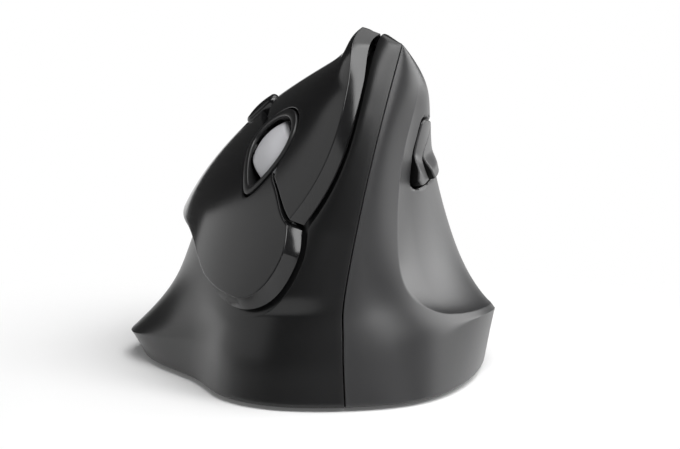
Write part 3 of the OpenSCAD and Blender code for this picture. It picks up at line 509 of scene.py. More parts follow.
def add_slab(name, outer, under, distance, finish, body, node, kept=None):
    """A closed slab between two grids of points, rubbed where the distance to its edges is small."""
    m, n = outer.shape[:2]
    kept = np.ones((m - 1, n - 1), bool) if kept is None else kept
    points = np.concatenate([outer.reshape(-1, 3), under.reshape(-1, 3)])
    rubbed = clamp(1 - distance / RUB_W).ravel()
    rim = np.concatenate([rubbed, np.zeros(m * n)])
    return add_piece(name, points, slab_faces(m, n, kept), finish, body, [node], rim)


def turned_faces(count, n):
    """Quads round a ring of sections that each have a closed profile of n points."""
    return [[i * n + k, i * n + (k + 1) % n, (i + 1) % count * n + (k + 1) % n, (i + 1) % count * n + k]
            for i in range(count) for k in range(n)]


def at_height(outline, z):
    return np.column_stack([outline, np.full(len(outline), z)])


def pill_outline(length, width, count=72):
    """Outline of a pill and its outward ways, once round."""
    t = np.arange(count) * 2 * math.pi / count
    way = np.stack([np.cos(t), np.sin(t)], -1)
    shift = np.sign(np.round(way[:, 0], 9)) * (length - width) / 2
    return way * width / 2 + np.stack([shift, np.zeros(count)], -1), way


def lofted(loops):
    """Closed solid through loops of points of equal count, from its first loop to its last."""
    count = len(loops[0])
    last = (len(loops) - 1) * count
    faces = []
    for start in range(0, last, count):
        for i in range(count):
            j = (i + 1) % count
            faces.append([start + i, start + j, start + count + j, start + count + i])
    faces.append(list(range(count))[::-1])
    faces.append(list(range(last, last + count)))
    return np.concatenate(loops), faces


# Shells
SEAM = 0.008
SEAM_R = 0.15
SEAM_TURN = 0.02
SEAM_ROWS = 5
SEAM_REST = 20
BASE_R = 0.7
SPINE_UPRIGHT = (5.8, 1)


def inside_outline(spots, outline):
    """Which spots lie inside a closed outline."""
    x, y = spots[..., 0], spots[..., 1]
    hit = np.zeros(x.shape, bool)
    for (x0, y0), (x1, y1) in zip(outline, np.roll(outline, -1, axis=0)):
        crossing = (y0 > y) != (y1 > y)
        where = x0 + (y - y0) * (x1 - x0) / np.where(y1 == y0, TINY, y1 - y0)
        hit ^= crossing & (x < where)
    return hit


def open_window(spots, outline):
    """Drops the cells inside an outline and lays the cells' new border on it."""
    middles = (spots[:-1, :-1] + spots[1:, :-1] + spots[1:, 1:] + spots[:-1, 1:]) / 4
    kept = ~inside_outline(middles, outline)
    m, n = spots.shape[:2]
    held = np.zeros((m, n), int)
    full = np.zeros((m, n), int)
    for i in (0, 1):
        for j in (0, 1):
            held[i:m - 1 + i, j:n - 1 + j] += kept
            full[i:m - 1 + i, j:n - 1 + j] += 1
    border = (held > 0) & (held < full)
    ring = finer(closed(outline), 6)
    gaps = (spots[border][:, None] - ring[None]) * STEP_MM
    snapped = spots.copy()
    snapped[border] = ring[(gaps ** 2).sum(-1).argmin(1)]
    return snapped, kept


def add_shell(name, spots, raised, window, rim_r, finish, node):
    """Half of the shell with a window, its edges turned at the seam, the foot and the window."""
    spots, kept = open_window(spots, window)
    u, v = spots[..., 0], spots[..., 1]
    bare = skin(u, v)
    way = unit(mix(skin_normal(u, v), UP, step(v, *SPINE_UPRIGHT)[..., None]))
    top = bare + np.asarray(raised)[..., None] * way
    under = bare + WALL * inward(bare)
    seam = distance_to(top, grid_border(top, ("rear", "front", "top")))
    foot = distance_to(top, grid_border(top, ("low",)))
    cut = distance_to(top, skin(*finer(closed(window)).T))
    drop = np.maximum(np.maximum(rim_drop(seam, SEAM_R), rim_drop(foot, BASE_R)), rim_drop(cut, rim_r))
    outer = top + drop[..., None] * inward(top)
    near = np.minimum(np.minimum(seam, foot), cut)
    add_slab(name, outer, under, near, finish, "body", node, kept)


def dense(stops):
    """Steps through stops: each stop is a place and the number of steps up to it."""
    parts = [np.linspace(a[0], b[0], b[1], endpoint=False) for a, b in zip(stops, stops[1:])]
    return np.concatenate(parts + [[stops[-1][0]]])


def seam_steps(start, end, stops):
    """Dense steps between two seams, closer together where the seams' rims turn."""
    turn = SEAM_TURN * (1 - np.cos(np.linspace(0, math.pi / 2, SEAM_ROWS)))
    inside = dense([(start + SEAM_TURN, 0)] + stops + [(end - SEAM_TURN, SEAM_REST)])
    return np.concatenate([start + turn[:-1], inside, (end - turn[:-1])[::-1]])


# Finger panel: its lip at the front, the split between its buttons, and its lower edge
LIP_U = 12.95
LIP_BULGE = 0.4
LOW_LIP_BULGE = LIP_BULGE / 16
LIP_LEAN = 0.14
BUTTON_REAR_U = 9.55
TOP_V = 7.2
SPLIT_FRONT = (12.78, 4.95)
SPLIT_SLOPE = 0.4
SPLIT_REAR_RISE = 0.2
SPLIT_REAR = (11.6, -1)
LOW_FRONT = (12.6, 3.88)
LOW_REACH = 3
LOW_SLOPE = 0.3
LOW_CURVE = 0.033
LOW_DIP = 0.2
LOW_DIP_FROM = (10.3, 1.2)

# Ring round the wheel and the small button behind it
RING_C = np.array([11.44, 5.53])
RING_A = np.array([0.467, 0.472])
RING_FACE = np.array([0.075, 0.085])
RING_PER_MM = np.array([0.067, 0.047])
RING_EGG = 0.5
RING_SKEW = 0.1
RING_GAP = 0.5
DPI_U = 10.12
DPI_A = (0.13, 0.32)
DPI_CLEAR = 0.2
DPI_LIFT = 0.09


def split_v(u):
    """Where the split between the finger buttons runs."""
    sloping = SPLIT_FRONT[1] + SPLIT_SLOPE * (SPLIT_FRONT[0] - u)
    return sloping + SPLIT_REAR_RISE * step(u, *SPLIT_REAR)


DPI_V = split_v(DPI_U) + DPI_LIFT


def low_v(u):
    """Where the panel's lower edge runs."""
    x = np.minimum(LOW_FRONT[0] - u, LOW_REACH)
    return LOW_FRONT[1] + LOW_SLOPE * x + LOW_CURVE * x * x - LOW_DIP * step(u, *LOW_DIP_FROM)


# Shares by which the panel rises at its peak, falls along the ridge and falls to the rear
PEAK_SHARE = 0.32
PEAK_V = (6.4, 0.6)
PEAK_U = (12, 0.7)
RIDGE_SHARE = 0.3
RIDGE_V = (6.3, 0.8)
RIDGE_U = (12.4, -1.2)
REAR_SHARE = 0.45
REAR_U = (9.6, -1.6)


def rise(u, v):
    """Height of the panel over the shell: lower along the ridge and to the rear, higher at the peak."""
    peak = 1 + PEAK_SHARE * step(v, *PEAK_V) * step(u, *PEAK_U)
    ridge_fall = 1 - RIDGE_SHARE * step(v, *RIDGE_V) * step(u, *RIDGE_U)
    return PANEL_H * peak * ridge_fall * (1 - REAR_SHARE * step(u, *REAR_U))


def egg(angle, half):
    """Egg round the wheel, wider at its upper end."""
    c, s = np.cos(np.radians(angle)), np.sin(np.radians(angle))
    return RING_C + np.stack([half[0] * c * (1 + RING_EGG * s) - RING_SKEW * s, half[1] * s], -1)


def ring_at(angle, out=0.0):
    return egg(angle, RING_A + out * RING_PER_MM)


# Half the width of the split, which opens towards the lip, and how it goes round ring and button
SPLIT_HALF = 0.014
SPLIT_FLARE = 0.016
SPLIT_FLARE_FROM = (12, 0.8)
SPLIT_RING_U = 11.95
DPI_SWEEP = (165, 15)
RING_SWEEP = {1: (133, -15), -1: (141, 337)}


def on_split(u, side):
    half = SPLIT_HALF + SPLIT_FLARE * step(u, *SPLIT_FLARE_FROM)
    return np.stack([u, split_v(u) + side * half], -1)


def split_path(side):
    """Edge of a button along the split, around the small button and the ring."""
    t = np.radians(np.linspace(*DPI_SWEEP, 33)) * side
    dpi = np.stack([DPI_U + DPI_A[0] * np.cos(t), DPI_V + DPI_A[1] * np.sin(t)], -1)
    sweep = np.linspace(*RING_SWEEP[side], 90)
    rear = on_split(np.linspace(BUTTON_REAR_U, DPI_U - DPI_CLEAR, 16), side)
    front = on_split(np.linspace(SPLIT_RING_U, LIP_U, 24), side)
    return finer(np.concatenate([rear, dpi, ring_at(sweep, RING_GAP), front]), 3)


UPWARD_SHARE = 0.15
LEAST_RUN = 1e-6


def progress(path):
    """How far along the panel each point of a path is, from 0 to 1."""
    move = np.diff(path, axis=0)
    gain = np.maximum(move[:, 0], 0) + UPWARD_SHARE * np.abs(move[:, 1]) + LEAST_RUN
    run = np.concatenate([[0], np.cumsum(gain)])
    return run / run[-1]


def along(path, s):
    p = progress(path)
    return np.stack([np.interp(s, p, path[:, k]) for k in (0, 1)], -1)


LIP_TOP = (LIP_U - 0.2, TOP_V - 0.1)
LIP_LOW_U = LIP_U + 0.15
CORNER = (0.7, 1.0)
CORNER_TOP = low_v(LIP_LOW_U) + CORNER[1]
TOP_BEND = (0.7, 0.3)
LOW_EASE = 1.6


def corner_share(u):
    """How far u has gone into the panel's rounded front corner, from 0 to 1."""
    return clamp(1 - (LIP_LOW_U - u) / CORNER[0])


def round_in(c):
    """Quarter circle that starts flat."""
    return 1 - np.sqrt(1 - c * c)


def top_edge(s):
    return np.stack([mix(BUTTON_REAR_U, LIP_TOP[0], s), mix(TOP_V, LIP_TOP[1], step(s, *TOP_BEND))], -1)


def low_edge(s):
    """Lower edge of the panel with its rounded front corner."""
    u = mix(BUTTON_REAR_U, LIP_LOW_U, 1 - (1 - s) ** LOW_EASE)
    return np.stack([u, low_v(u) + CORNER[1] * round_in(corner_share(u))], -1)


BUTTON_R = 0.2
BUTTON_L = 62.0
BUTTON_H = 22.0
BUTTON_COLS = 210
BUTTON_ROWS = 44
LIP_FROM = (0.75, 0.25)
TOP_LEAN = 0.12
TOP_LEAN_FROM = (0.5, 0.5)
LOW_LEAN = 0.16
LOW_LEAN_FROM = (0.1, 0.5)
BAND_FADE = (2.2, -0.8)


def add_button(name, side, body, node):
    """Upper or lower finger button, whose outer edges lean in and carry the deep band."""
    s = eased_steps(BUTTON_L, BUTTON_R, BUTTON_COLS)
    q = eased_steps(BUTTON_H, BUTTON_R, BUTTON_ROWS)
    split = along(split_path(side), s)
    low, high = (split, top_edge(s)) if side > 0 else (low_edge(s), split)
    spots = mix(low[:, None], high[:, None], q[None, :, None])
    u, v = spots[..., 0], spots[..., 1]
    s = s[:, None]
    front = step(s, *LIP_FROM)
    passed = corner_share(low[:, None, 0])
    u = u + (LIP_BULGE if side > 0 else LOW_LIP_BULGE) * 4 * q * (1 - q) * front
    if side > 0:
        free = ("rear", "front", "top")
        top_u = u - LIP_LEAN * front
        top_v = v - TOP_LEAN * q * q * step(s, *TOP_LEAN_FROM)
    else:
        free = ("rear", "front", "low")
        top_u = u - LIP_LEAN * mix(passed, front, q)
        top_v = v + LOW_LEAN * np.sqrt(1 - passed ** 2) * step(s, *LOW_LEAN_FROM) * (1 - q) ** 2
    lift = rise(u, v)
    top = skin(top_u, top_v, lift)
    band = np.minimum(BAND_W, lift - PRESS_GAP)
    banded = step(distance_to(top, grid_border(top, free)), *BAND_FADE)
    under = skin(u, v, lift - mix(np.minimum(BUTTON_T, band), band, banded))
    outer, near = rimmed(top, top_u, top_v, BUTTON_R)
    add_slab(name, outer, under, near, PANEL, body, node)


COVER_U = (9.48, 7.7)
COVER_TIP = 0.005
COVER_TILT = 0.1
COVER_ROUND = 2.6
COVER_FOOT = 0.2


def add_palm_cover():
    """Cover behind the finger buttons, drawn in to a round tail with close rows."""
    tail = 1 - 0.5 * np.linspace(COVER_TIP, 1, 60) ** 2
    x = np.concatenate([tail, np.linspace(0.5, 0, 40)[1:]])
    q = eased_steps(BUTTON_H, BUTTON_R, BUTTON_ROWS)
    x, q = np.meshgrid(x, q, indexing="ij")
    u = mix(COVER_U[0], COVER_U[1], x)
    middle = (TOP_V + low_v(COVER_U[0])) / 2 + COVER_TILT * x
    half = (TOP_V - middle + COVER_TILT * x) * np.sqrt(1 - x ** COVER_ROUND)
    v = middle + (2 * q - 1) * half
    outer, near = rimmed(skin(u, v, rise(u, v)), u, v, BUTTON_R)
    under = skin(u, v, COVER_FOOT)
    add_slab("palm_cover_skin", outer, under, near, PANEL, "body", "palm_cover")


# Wheel
WHEEL_TILT = np.array([0.3, -0.14])
WHEEL_WAY = skin(*(RING_C + WHEEL_TILT)) - skin(*(RING_C - WHEEL_TILT))
WHEEL_FRAME = frame_at(RING_C[0], RING_C[1], WHEEL_WAY)
WHEEL_AT = np.array([-1.1, 0.35, PANEL_H + WHEEL_PROUD - WHEEL_R])
RING_STEPS = 240
RING_TOP = 0.35
RING_LEAN = 25
RING_FOOT = 0.2
RING_SHORT = 0.6
RING_CHEEK = 0.75
# Shares of the way across the ring's face, with heights over it; None is the ring's foot
RING_PROFILE = [(0, None), (0, -0.3), (0.02, -0.16), (0.06, -0.06), (0.14, 0), (0.5, 0.02), (0.84, 0),
                (0.92, -0.05), (0.98, -0.17), (1, -0.35), (1, None)]
RING_EDGES = [3, 7]


def add_ring():
    """Bezel round the wheel: a flat face with turned edges, deep at both ends of the axle."""
    angle = np.arange(RING_STEPS) * 360 / RING_STEPS
    outside = ring_at(angle)
    inside = egg(angle, RING_A - RING_FACE)
    face = PANEL_H + RING_TOP
    across_axle = np.abs(np.cos(np.radians(angle + RING_LEAN)))
    foot = RING_FOOT + (PANEL_H - RING_SHORT) * smooth(across_axle / RING_CHEEK)
    loops = []
    for across, height in RING_PROFILE:
        spot = mix(outside, inside, across)
        loops.append(skin(spot[:, 0], spot[:, 1], foot if height is None else face + height))
    n = len(RING_PROFILE)
    faces = [f[::-1] for f in turned_faces(RING_STEPS, n)]
    rim = np.zeros((RING_STEPS, n))
    rim[:, RING_EDGES] = 1
    add_piece("wheel_ring_face", np.stack(loops, 1).reshape(-1, 3), faces, RING, "body",
              ["wheel_ring"], rim)


TYRE_CROWN = 1.2
TYRE_R = 0.5
TYRE_STEPS = 160
TYRE_COLS = 41
HUB_R = 6.6


def add_tyre():
    """Smooth crowned tyre with turned shoulders."""
    half = WHEEL_W / 2
    y = np.linspace(-1, 1, TYRE_COLS)
    crown = WHEEL_R - TYRE_CROWN * y ** 2 - rim_drop((1 - np.abs(y)) * half, TYRE_R)
    profile = [(HUB_R, -half)] + list(zip(crown, y * half)) + [(HUB_R, half)]
    turn = np.arange(TYRE_STEPS) * 2 * math.pi / TYRE_STEPS
    points = [WHEEL_AT + np.array([r * math.cos(t), w, r * math.sin(t)]) for t in turn for r, w in profile]
    faces = turned_faces(TYRE_STEPS, len(profile))
    add_piece("wheel_tyre_rubber", from_frame(WHEEL_FRAME, np.array(points)), faces, TYRE, "wheel",
              ["wheel_tyre"])


# Small button behind the wheel
DPI_FRAME = frame_at(DPI_U, split_v(DPI_U), WHEEL_WAY)
DPI_SIZE = (9.0, 4.0)
DPI_SHIFT = 1.5
DPI_UNDER = 0.7
DPI_STEM_R = 1.3
DPI_STEM_Z = -3.1
DPI_R = 1.1
DPI_DOME = 0.35
DPI_DOME_SHARES = (0.75, 0.5, 0.25, 0.06)
DPI_CREASE = 50


def add_dpi_button():
    """Domed pill on a stem."""
    height = PANEL_H + DPI_PROUD
    outline, way = (turned[:, ::-1] * (-1, 1) for turned in pill_outline(*DPI_SIZE))
    stem = way * DPI_STEM_R - (0, DPI_SHIFT)
    loops = [at_height(stem, DPI_STEM_Z), at_height(stem, DPI_UNDER), at_height(outline, DPI_UNDER)]
    for a in np.linspace(0, math.pi / 2, 8):
        inset = DPI_R * (1 - math.cos(a))
        z = height - DPI_DOME - DPI_R * (1 - math.sin(a))
        loops.append(at_height(outline - way * inset, z))
    for share in DPI_DOME_SHARES:
        loops.append(at_height((outline - way * DPI_R) * share, height - DPI_DOME * share ** 2))
    points, faces = lofted(loops)
    points = points + (0, DPI_SHIFT, 0)
    add_piece("dpi_cap", from_frame(DPI_FRAME, points), faces, PANEL, "dpi_key", ["dpi_button"],
              angle=DPI_CREASE)


# Thumb buttons: two leaves with a curved split, flush above and proud at their lower fronts
SIDE_US = (1.75, 4.05)
SIDE_GAP = 0.03
SIDE_FRONT_GAPS = 3
SIDE_EDGE_GAPS = 1.7
SIDE_LOW = 5.42
SIDE_LOW_SLOPE = 0.12
SIDE_LOW_ROUND = (0.14, 0.2)
SIDE_TOP = 6.46
SIDE_TOP_FALL = 0.18
SIDE_TOP_ROUND = (0.16, 0.2)
SIDE_CORNER = 0.3
SIDE_WAIST = (2.36, 0.41)
SIDE_BELOW = 0.36
SIDE_BELOW_BEND = 1.3
SIDE_ABOVE = 0.7
SIDE_ABOVE_RUN = 0.55
SIDE_IN = WALL + 0.4
SIDE_FLUSH = 0.15
SIDE_PROUD_BELOW = (0.5, -0.35)
SIDE_REAR_SHARE = 0.25
SIDE_SIZE = (12, 15)
SIDE_R = 0.35
SIDE_STEPS = 70
SHADE_WALL_STEPS = 22


def side_edges(u, inset):
    """Lower and upper edge of the thumb buttons, rounded at both ends."""
    start, end = SIDE_US
    share = (u - start) / (end - start)
    front = round_in(clamp(1 - (u - start - inset) / SIDE_CORNER))
    rear = round_in(clamp(1 - (end - inset - u) / SIDE_CORNER))
    low = SIDE_LOW + SIDE_LOW_SLOPE * share + SIDE_LOW_ROUND[0] * front + SIDE_LOW_ROUND[1] * rear
    top = SIDE_TOP - SIDE_TOP_FALL * share ** 2 - SIDE_TOP_ROUND[0] * front - SIDE_TOP_ROUND[1] * rear
    return low + inset, top - inset


def side_split(q):
    """Where the split between the thumb buttons runs, with its waist."""
    below = SIDE_BELOW * np.maximum(1 - q / SIDE_WAIST[1], 0) ** SIDE_BELOW_BEND
    return SIDE_WAIST[0] + below + SIDE_ABOVE * step(q, SIDE_WAIST[1], SIDE_ABOVE_RUN)


def side_window():
    """Outline of the opening for both thumb buttons."""
    u = mix(*SIDE_US, 0.5 - 0.5 * np.cos(np.linspace(0, math.pi, 120)))
    low, top = side_edges(u, 0)
    return np.concatenate([np.stack([u, low], -1), np.stack([u, top], -1)[::-1]])


def add_side_button(name, forward, body, node):
    """Thumb button whose front wall and the front of its lower wall are painted near-black, as painted shade
    under its proud front end.
    """
    p = eased_steps(SIDE_SIZE[0], SIDE_R, SIDE_STEPS)[:, None]
    q = eased_steps(SIDE_SIZE[1], SIDE_R, SIDE_STEPS)[None]
    if forward:
        u = mix(SIDE_US[0] + SIDE_FRONT_GAPS * SIDE_GAP, side_split(q) - SIDE_GAP, p)
    else:
        u = mix(side_split(q) + SIDE_GAP, SIDE_US[1] - SIDE_GAP, p)
    low, top = side_edges(u, SIDE_EDGE_GAPS * SIDE_GAP)
    v = mix(low, top, q)
    lift = SIDE_FLUSH + SIDE_H * step(q, *SIDE_PROUD_BELOW) * mix(1, SIDE_REAR_SHARE, smooth(p))
    outer, near = rimmed(skin(u, v, lift), u, v, SIDE_R)
    base = skin(u, v)
    under = base + SIDE_IN * inward(base)
    button = add_slab(name, outer, under, near, THUMB, body, node)
    # Painted shade: the front wall and the first steps of the lower wall take the near-black finish
    button.data.materials.append(PAINTED_SHADE)
    quads = list(button.data.polygons)
    low_wall = 2 * (p.size - 1) * (q.size - 1)
    for quad in quads[low_wall:low_wall + SHADE_WALL_STEPS] + quads[1 - q.size:]:
        quad.material_index = 1


# Spine beside the panel's lip. The shell's columns are drawn to the lip, the groove and the spine's edge.
LIP_COLS = (11.85, 13.0, 13.1, 13.12)
LIP_DRAWN_FROM = (2.6, 0.9)
GROOVE_U = 0.09
SPINE_R = 0.3
SPINE_FROM = (3.5, 0.6)
SPINE_STRAIGHT_FROM = (6, 1)
SPINE_PEAK = 0.8
SPINE_PEAK_FROM = (6.2, 0.6)
SPINE_TIP = 0.9
SPINE_TIP_FROM = (6.95, 0.5)


def lip_at(v):
    """Foot of the panel's front wall, from the lower corner up to the tip."""
    middle = split_v(LIP_U)
    q = clamp((v - middle) / (LIP_TOP[1] - middle))
    upper = mix(LIP_U, LIP_TOP[0], q) + LIP_BULGE * 4 * q * (1 - q)
    q = clamp((v - CORNER_TOP) / (middle - CORNER_TOP))
    lower = mix(LIP_LOW_U, LIP_U, q) + LOW_LIP_BULGE * 4 * q * (1 - q)
    corner = LIP_LOW_U - CORNER[0] * round_in(clamp((CORNER_TOP - v) / CORNER[1]))
    return np.where(v > middle, upper, np.where(v > CORNER_TOP, lower, corner))


def spine_u(b, v):
    """Columns before the spine drawn to the lip, then the groove and the spine's edge."""
    lip = lip_at(np.maximum(v, CORNER_TOP - CORNER[1]))
    stops = [LIP_COLS[0], LIP_COLS[1], LIP_COLS[2], TURN]
    places = [LIP_COLS[0], lip, lip + GROOVE_U, TURN]
    drawn = b
    for k in range(3):
        part = mix(places[k], places[k + 1], (b - stops[k]) / (stops[k + 1] - stops[k]))
        drawn = np.where((b >= stops[k]) & (b <= stops[k + 1]), part, drawn)
    return mix(b, drawn, step(v, *LIP_DRAWN_FROM))


def spine_lift(b, v):
    """Height of the spine over the groove, highest at its turned edge."""
    share = clamp((b - LIP_COLS[3]) / (TURN - SEAM - LIP_COLS[3]))
    fall = 1 - mix(smooth(share), share, step(v, *SPINE_STRAIGHT_FROM))
    peak = (1 + SPINE_PEAK * step(v, *SPINE_PEAK_FROM)) * (1 - SPINE_TIP * step(v, *SPINE_TIP_FROM))
    high = SPINE_H * peak * fall * step(v, *SPINE_FROM)
    edge = clamp((b - LIP_COLS[2]) / (LIP_COLS[3] - LIP_COLS[2]))
    drop = rim_drop(np.maximum(b - LIP_COLS[3], 0) * STEP_MM[0], SPINE_R)
    return np.maximum(high * edge - drop * edge, 0)


FINGER_US = [(9.5, 40), (LIP_COLS[0], 70), (LIP_COLS[1], 40), (LIP_COLS[2], 6), (LIP_COLS[3], 5),
             (LIP_COLS[3] + 0.03, 8)]
FINGER_VS = [(0, 0), (0.1, 8), (1.4, 14), (2.8, 24), (4.6, 50), (7.3, 60), (RIDGE - 0.01, 10)]
FINGER_WINDOW_R = 0.2
THUMB_US = [(0.9, 22), (1.4, 30), (4.3, 130), (5.5, 20)]
THUMB_VS = [(0, 0), (0.1, 8), (1.4, 14), (2.7, 24), (3.3, 16), (5.3, 30), (6.6, 44), (RIDGE - 0.01, 16)]
THUMB_WINDOW_R = 0.3


def add_shells():
    """Finger shell with the spine and the hole for the wheel, and thumb shell with its window."""
    hole = egg(np.linspace(0, 360, 72, endpoint=False), RING_A - 0.5 * RING_FACE)
    b, v = np.meshgrid(seam_steps(TAIL + SEAM, TURN - SEAM, FINGER_US), dense(FINGER_VS), indexing="ij")
    spots = np.stack([spine_u(b, v), v], -1)
    add_shell("finger_shell_skin", spots, spine_lift(b, v), hole, FINGER_WINDOW_R, SHELL, "finger_shell")
    u, v = np.meshgrid(seam_steps(SEAM, TAIL - SEAM, THUMB_US), dense(THUMB_VS), indexing="ij")
    spots = np.stack([u, v], -1)
    add_shell("thumb_shell_skin", spots, 0.0, side_window(), THUMB_WINDOW_R, THUMB, "thumb_shell")


# Under the base
MERGE_M = 2e-6
FLAT_ANGLE = math.radians(2)
EDGE_ANGLE = math.radians(35)


def softened(name, node, width, finish, body="body"):
    """A frame node with its edges turned."""
    made = bmesh.new()
    made.from_mesh(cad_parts[node].data)
    bmesh.ops.remove_doubles(made, verts=made.verts, dist=MERGE_M)
    bmesh.ops.dissolve_limit(made, angle_limit=FLAT_ANGLE, verts=made.verts, edges=made.edges)
    sharp = [e for e in made.edges if e.is_manifold and e.calc_face_angle(0) > EDGE_ANGLE]
    bmesh.ops.bevel(made, geom=sharp, offset=width * MM, segments=2, profile=0.5, affect="EDGES",
                    clamp_overlap=True)
    mesh = bpy.data.meshes.new(name)
    made.to_mesh(mesh)
    made.free()
    add_mesh(name, mesh, finish, body, [node])


# Place, turn in degrees, length and width of each foot, and the insets and heights of a foot's edge
FOOT_PADS = [(4, -37, 0, 24, 6), (0, 45, 0, 20, 5), (-27, -3, 90, 14, 5), (31, -8, 90, 18, 5)]
FOOT_EDGE = [(1.2, 0), (0.5, 0.03), (0.18, 0.15), (0, 0.35), (0, FOOT_H)]


def add_feet():
    """Glide feet with rounded running edges."""
    points, faces = [], []
    for x, y, turn, length, width in FOOT_PADS:
        outline, way = pill_outline(length, width)
        pad, sides = lofted([at_height(outline - way * inset, z) for inset, z in FOOT_EDGE])
        c, s = math.cos(math.radians(turn)), math.sin(math.radians(turn))
        pad = pad @ np.array([[c, s, 0], [-s, c, 0], [0, 0, 1]]) + np.array([x, y, 0])
        faces += [[i + len(points) for i in f] for f in sides]
        points += pad.tolist()
    add_piece("glide_feet", points, faces, FOOT, "body", ["feet"])


# Screws
SCREW_SIZES = ("Head Radius", "Head Height", "Shank Radius", "Shank Length", "Recess Width", "Recess Depth")
RECESS_SPAN = 1.2


def screw_tree(name, finish):
    """Screws with a crossed recess, one at each point of a mesh."""
    tree = bpy.data.node_groups.new(name, "GeometryNodeTree")
    tree.interface.new_socket("Geometry", in_out="OUTPUT", socket_type="NodeSocketGeometry")
    tree.interface.new_socket("Places", in_out="INPUT", socket_type="NodeSocketGeometry")
    for size in SCREW_SIZES:
        tree.interface.new_socket(size, in_out="INPUT", socket_type="NodeSocketFloat")
    given = tree.nodes.new("NodeGroupInput").outputs

    def node(kind, settings=None, sockets=None):
        """Adds a node; a list of links goes into one socket that takes several."""
        made = tree.nodes.new(kind)
        for key, value in (settings or {}).items():
            setattr(made, key, value)
        for key, value in (sockets or {}).items():
            for part in value if isinstance(value, list) else [value]:
                if isinstance(part, bpy.types.NodeSocket):
                    tree.links.new(part, made.inputs[key])
                else:
                    made.inputs[key].default_value = part
        return made.outputs[0]

    def maths(operation, a, b):
        return node("ShaderNodeMath", {"operation": operation}, {0: a, 1: b})

    def xyz(x, y, z):
        return node("ShaderNodeCombineXYZ", {}, {0: x, 1: y, 2: z})

    def rod(sides, radius, depth, middle):
        made = node("GeometryNodeMeshCylinder", {}, {"Vertices": sides, "Radius": radius, "Depth": depth})
        return node("GeometryNodeTransform", {}, {"Geometry": made, "Translation": xyz(0, 0, middle)})

    def block(x, y, z):
        return node("GeometryNodeMeshCube", {}, {"Size": xyz(x, y, z)})

    def joined(operation, sockets):
        return node("GeometryNodeMeshBoolean", {"operation": operation, "solver": "EXACT"}, sockets)

    head_h, shank_l = given["Head Height"], given["Shank Length"]
    head = rod(32, given["Head Radius"], head_h, maths("MULTIPLY", head_h, -0.5))
    # The shank starts half-way up the head, because faces in one plane don't join cleanly
    buried = maths("MULTIPLY", head_h, 0.5)
    shank = rod(20, given["Shank Radius"], maths("SUBTRACT", shank_l, buried),
                maths("MULTIPLY", maths("ADD", shank_l, buried), -0.5))
    span = maths("MULTIPLY", given["Head Radius"], RECESS_SPAN)
    deep = maths("MULTIPLY", given["Recess Depth"], 2)
    wide = given["Recess Width"]
    slots = [block(span, wide, deep), block(wide, span, deep)]
    whole = joined("UNION", {"Mesh 2": [head, shank]})
    screw = joined("DIFFERENCE", {"Mesh 1": whole, "Mesh 2": slots})
    placed = node("GeometryNodeInstanceOnPoints", {}, {"Points": given["Places"], "Instance": screw})
    solid = node("GeometryNodeRealizeInstances", {}, {"Geometry": placed})
    painted = node("GeometryNodeSetMaterial", {}, {"Geometry": solid, "Material": finish})
    tree.links.new(painted, tree.nodes.new("NodeGroupOutput").inputs[0])
    return tree


def add_screws(name, tree, places, sizes, facing, node):
    """Screws at places, with their heads towards +Z or -Z."""
    flip = np.array([1, facing, facing])
    seeds = bpy.data.meshes.new(name + "_places")
    seeds.from_pydata((np.array(places, float) * MM * flip).tolist(), [], [])
    maker = linked(name + "_maker", seeds)
    grown = maker.modifiers.new("screws", "NODES")
    grown.node_group = tree
    for item in tree.interface.items_tree:
        if item.in_out == "INPUT" and item.name in sizes:
            grown[item.identifier] = sizes[item.name] * MM
    seen = maker.evaluated_get(bpy.context.evaluated_depsgraph_get())
    mesh = bpy.data.meshes.new_from_object(seen)
    mesh.name = name
    maker.modifiers.clear()
    bpy.data.objects.remove(maker)
    if facing < 0:
        mesh.transform(Matrix.Diagonal((1, -1, -1, 1)))
    add_mesh(name, mesh, STEEL, "body", [node])


BOSSES = [(-28, 8), (26, -24), (-16, 34), (5, -45.5)]
STANDS = [(-6, -38), (17, -38), (-6, -20), (17, -20)]
SHELL_SCREW = dict(zip(SCREW_SIZES, (2.4, 0.9, 1.1, 6.5, 0.7, 0.6)))
BOARD_SCREW = dict(zip(SCREW_SIZES, (2.0, 1.3, 1.0, 5.4, 0.6, 0.7)))
SCREW_SINK = 0.1


def add_all_screws():
    tree = screw_tree("screw", STEEL)
    spread = BODY / DRAWN
    low = FOOT_H + SCREW_SINK
    places = [(x * spread[0], y * spread[1], low) for x, y in BOSSES]
    add_screws("shell_screw_set", tree, places, SHELL_SCREW, -1, "shell_screws")
    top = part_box("board_screws")[1].z / MM
    places = [(x, y, top) for x, y in STANDS]
    add_screws("board_screw_set", tree, places, BOARD_SCREW, 1, "board_screws")


def paint_frame():
    """Finishes of the frame nodes that are shown as they are."""
    finishes = {
        STEEL: ["hinge_pins", "wheel_axle"],
        INNER: ["wheel_hub", "wheel_carrier", "chassis", "side_bracket", "battery_cradle", "receiver_socket",
                "shell_bosses", "upper_plunger", "lower_plunger"],
        SWITCH: ["encoder", "wheel_switch", "upper_switch", "lower_switch", "dpi_switch", "side_switches",
                 "sensor", "power_switch"],
        BOARD: ["button_board", "dpi_board", "side_board", "main_board"],
        CONTACT: ["battery_spring", "battery_contact"],
        CELL: ["battery"],
        LENS: ["sensor_lens"],
    }
    for finish, nodes in finishes.items():
        for node in nodes:
            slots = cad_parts[node].data.materials
            slots.clear()
            slots.append(finish)


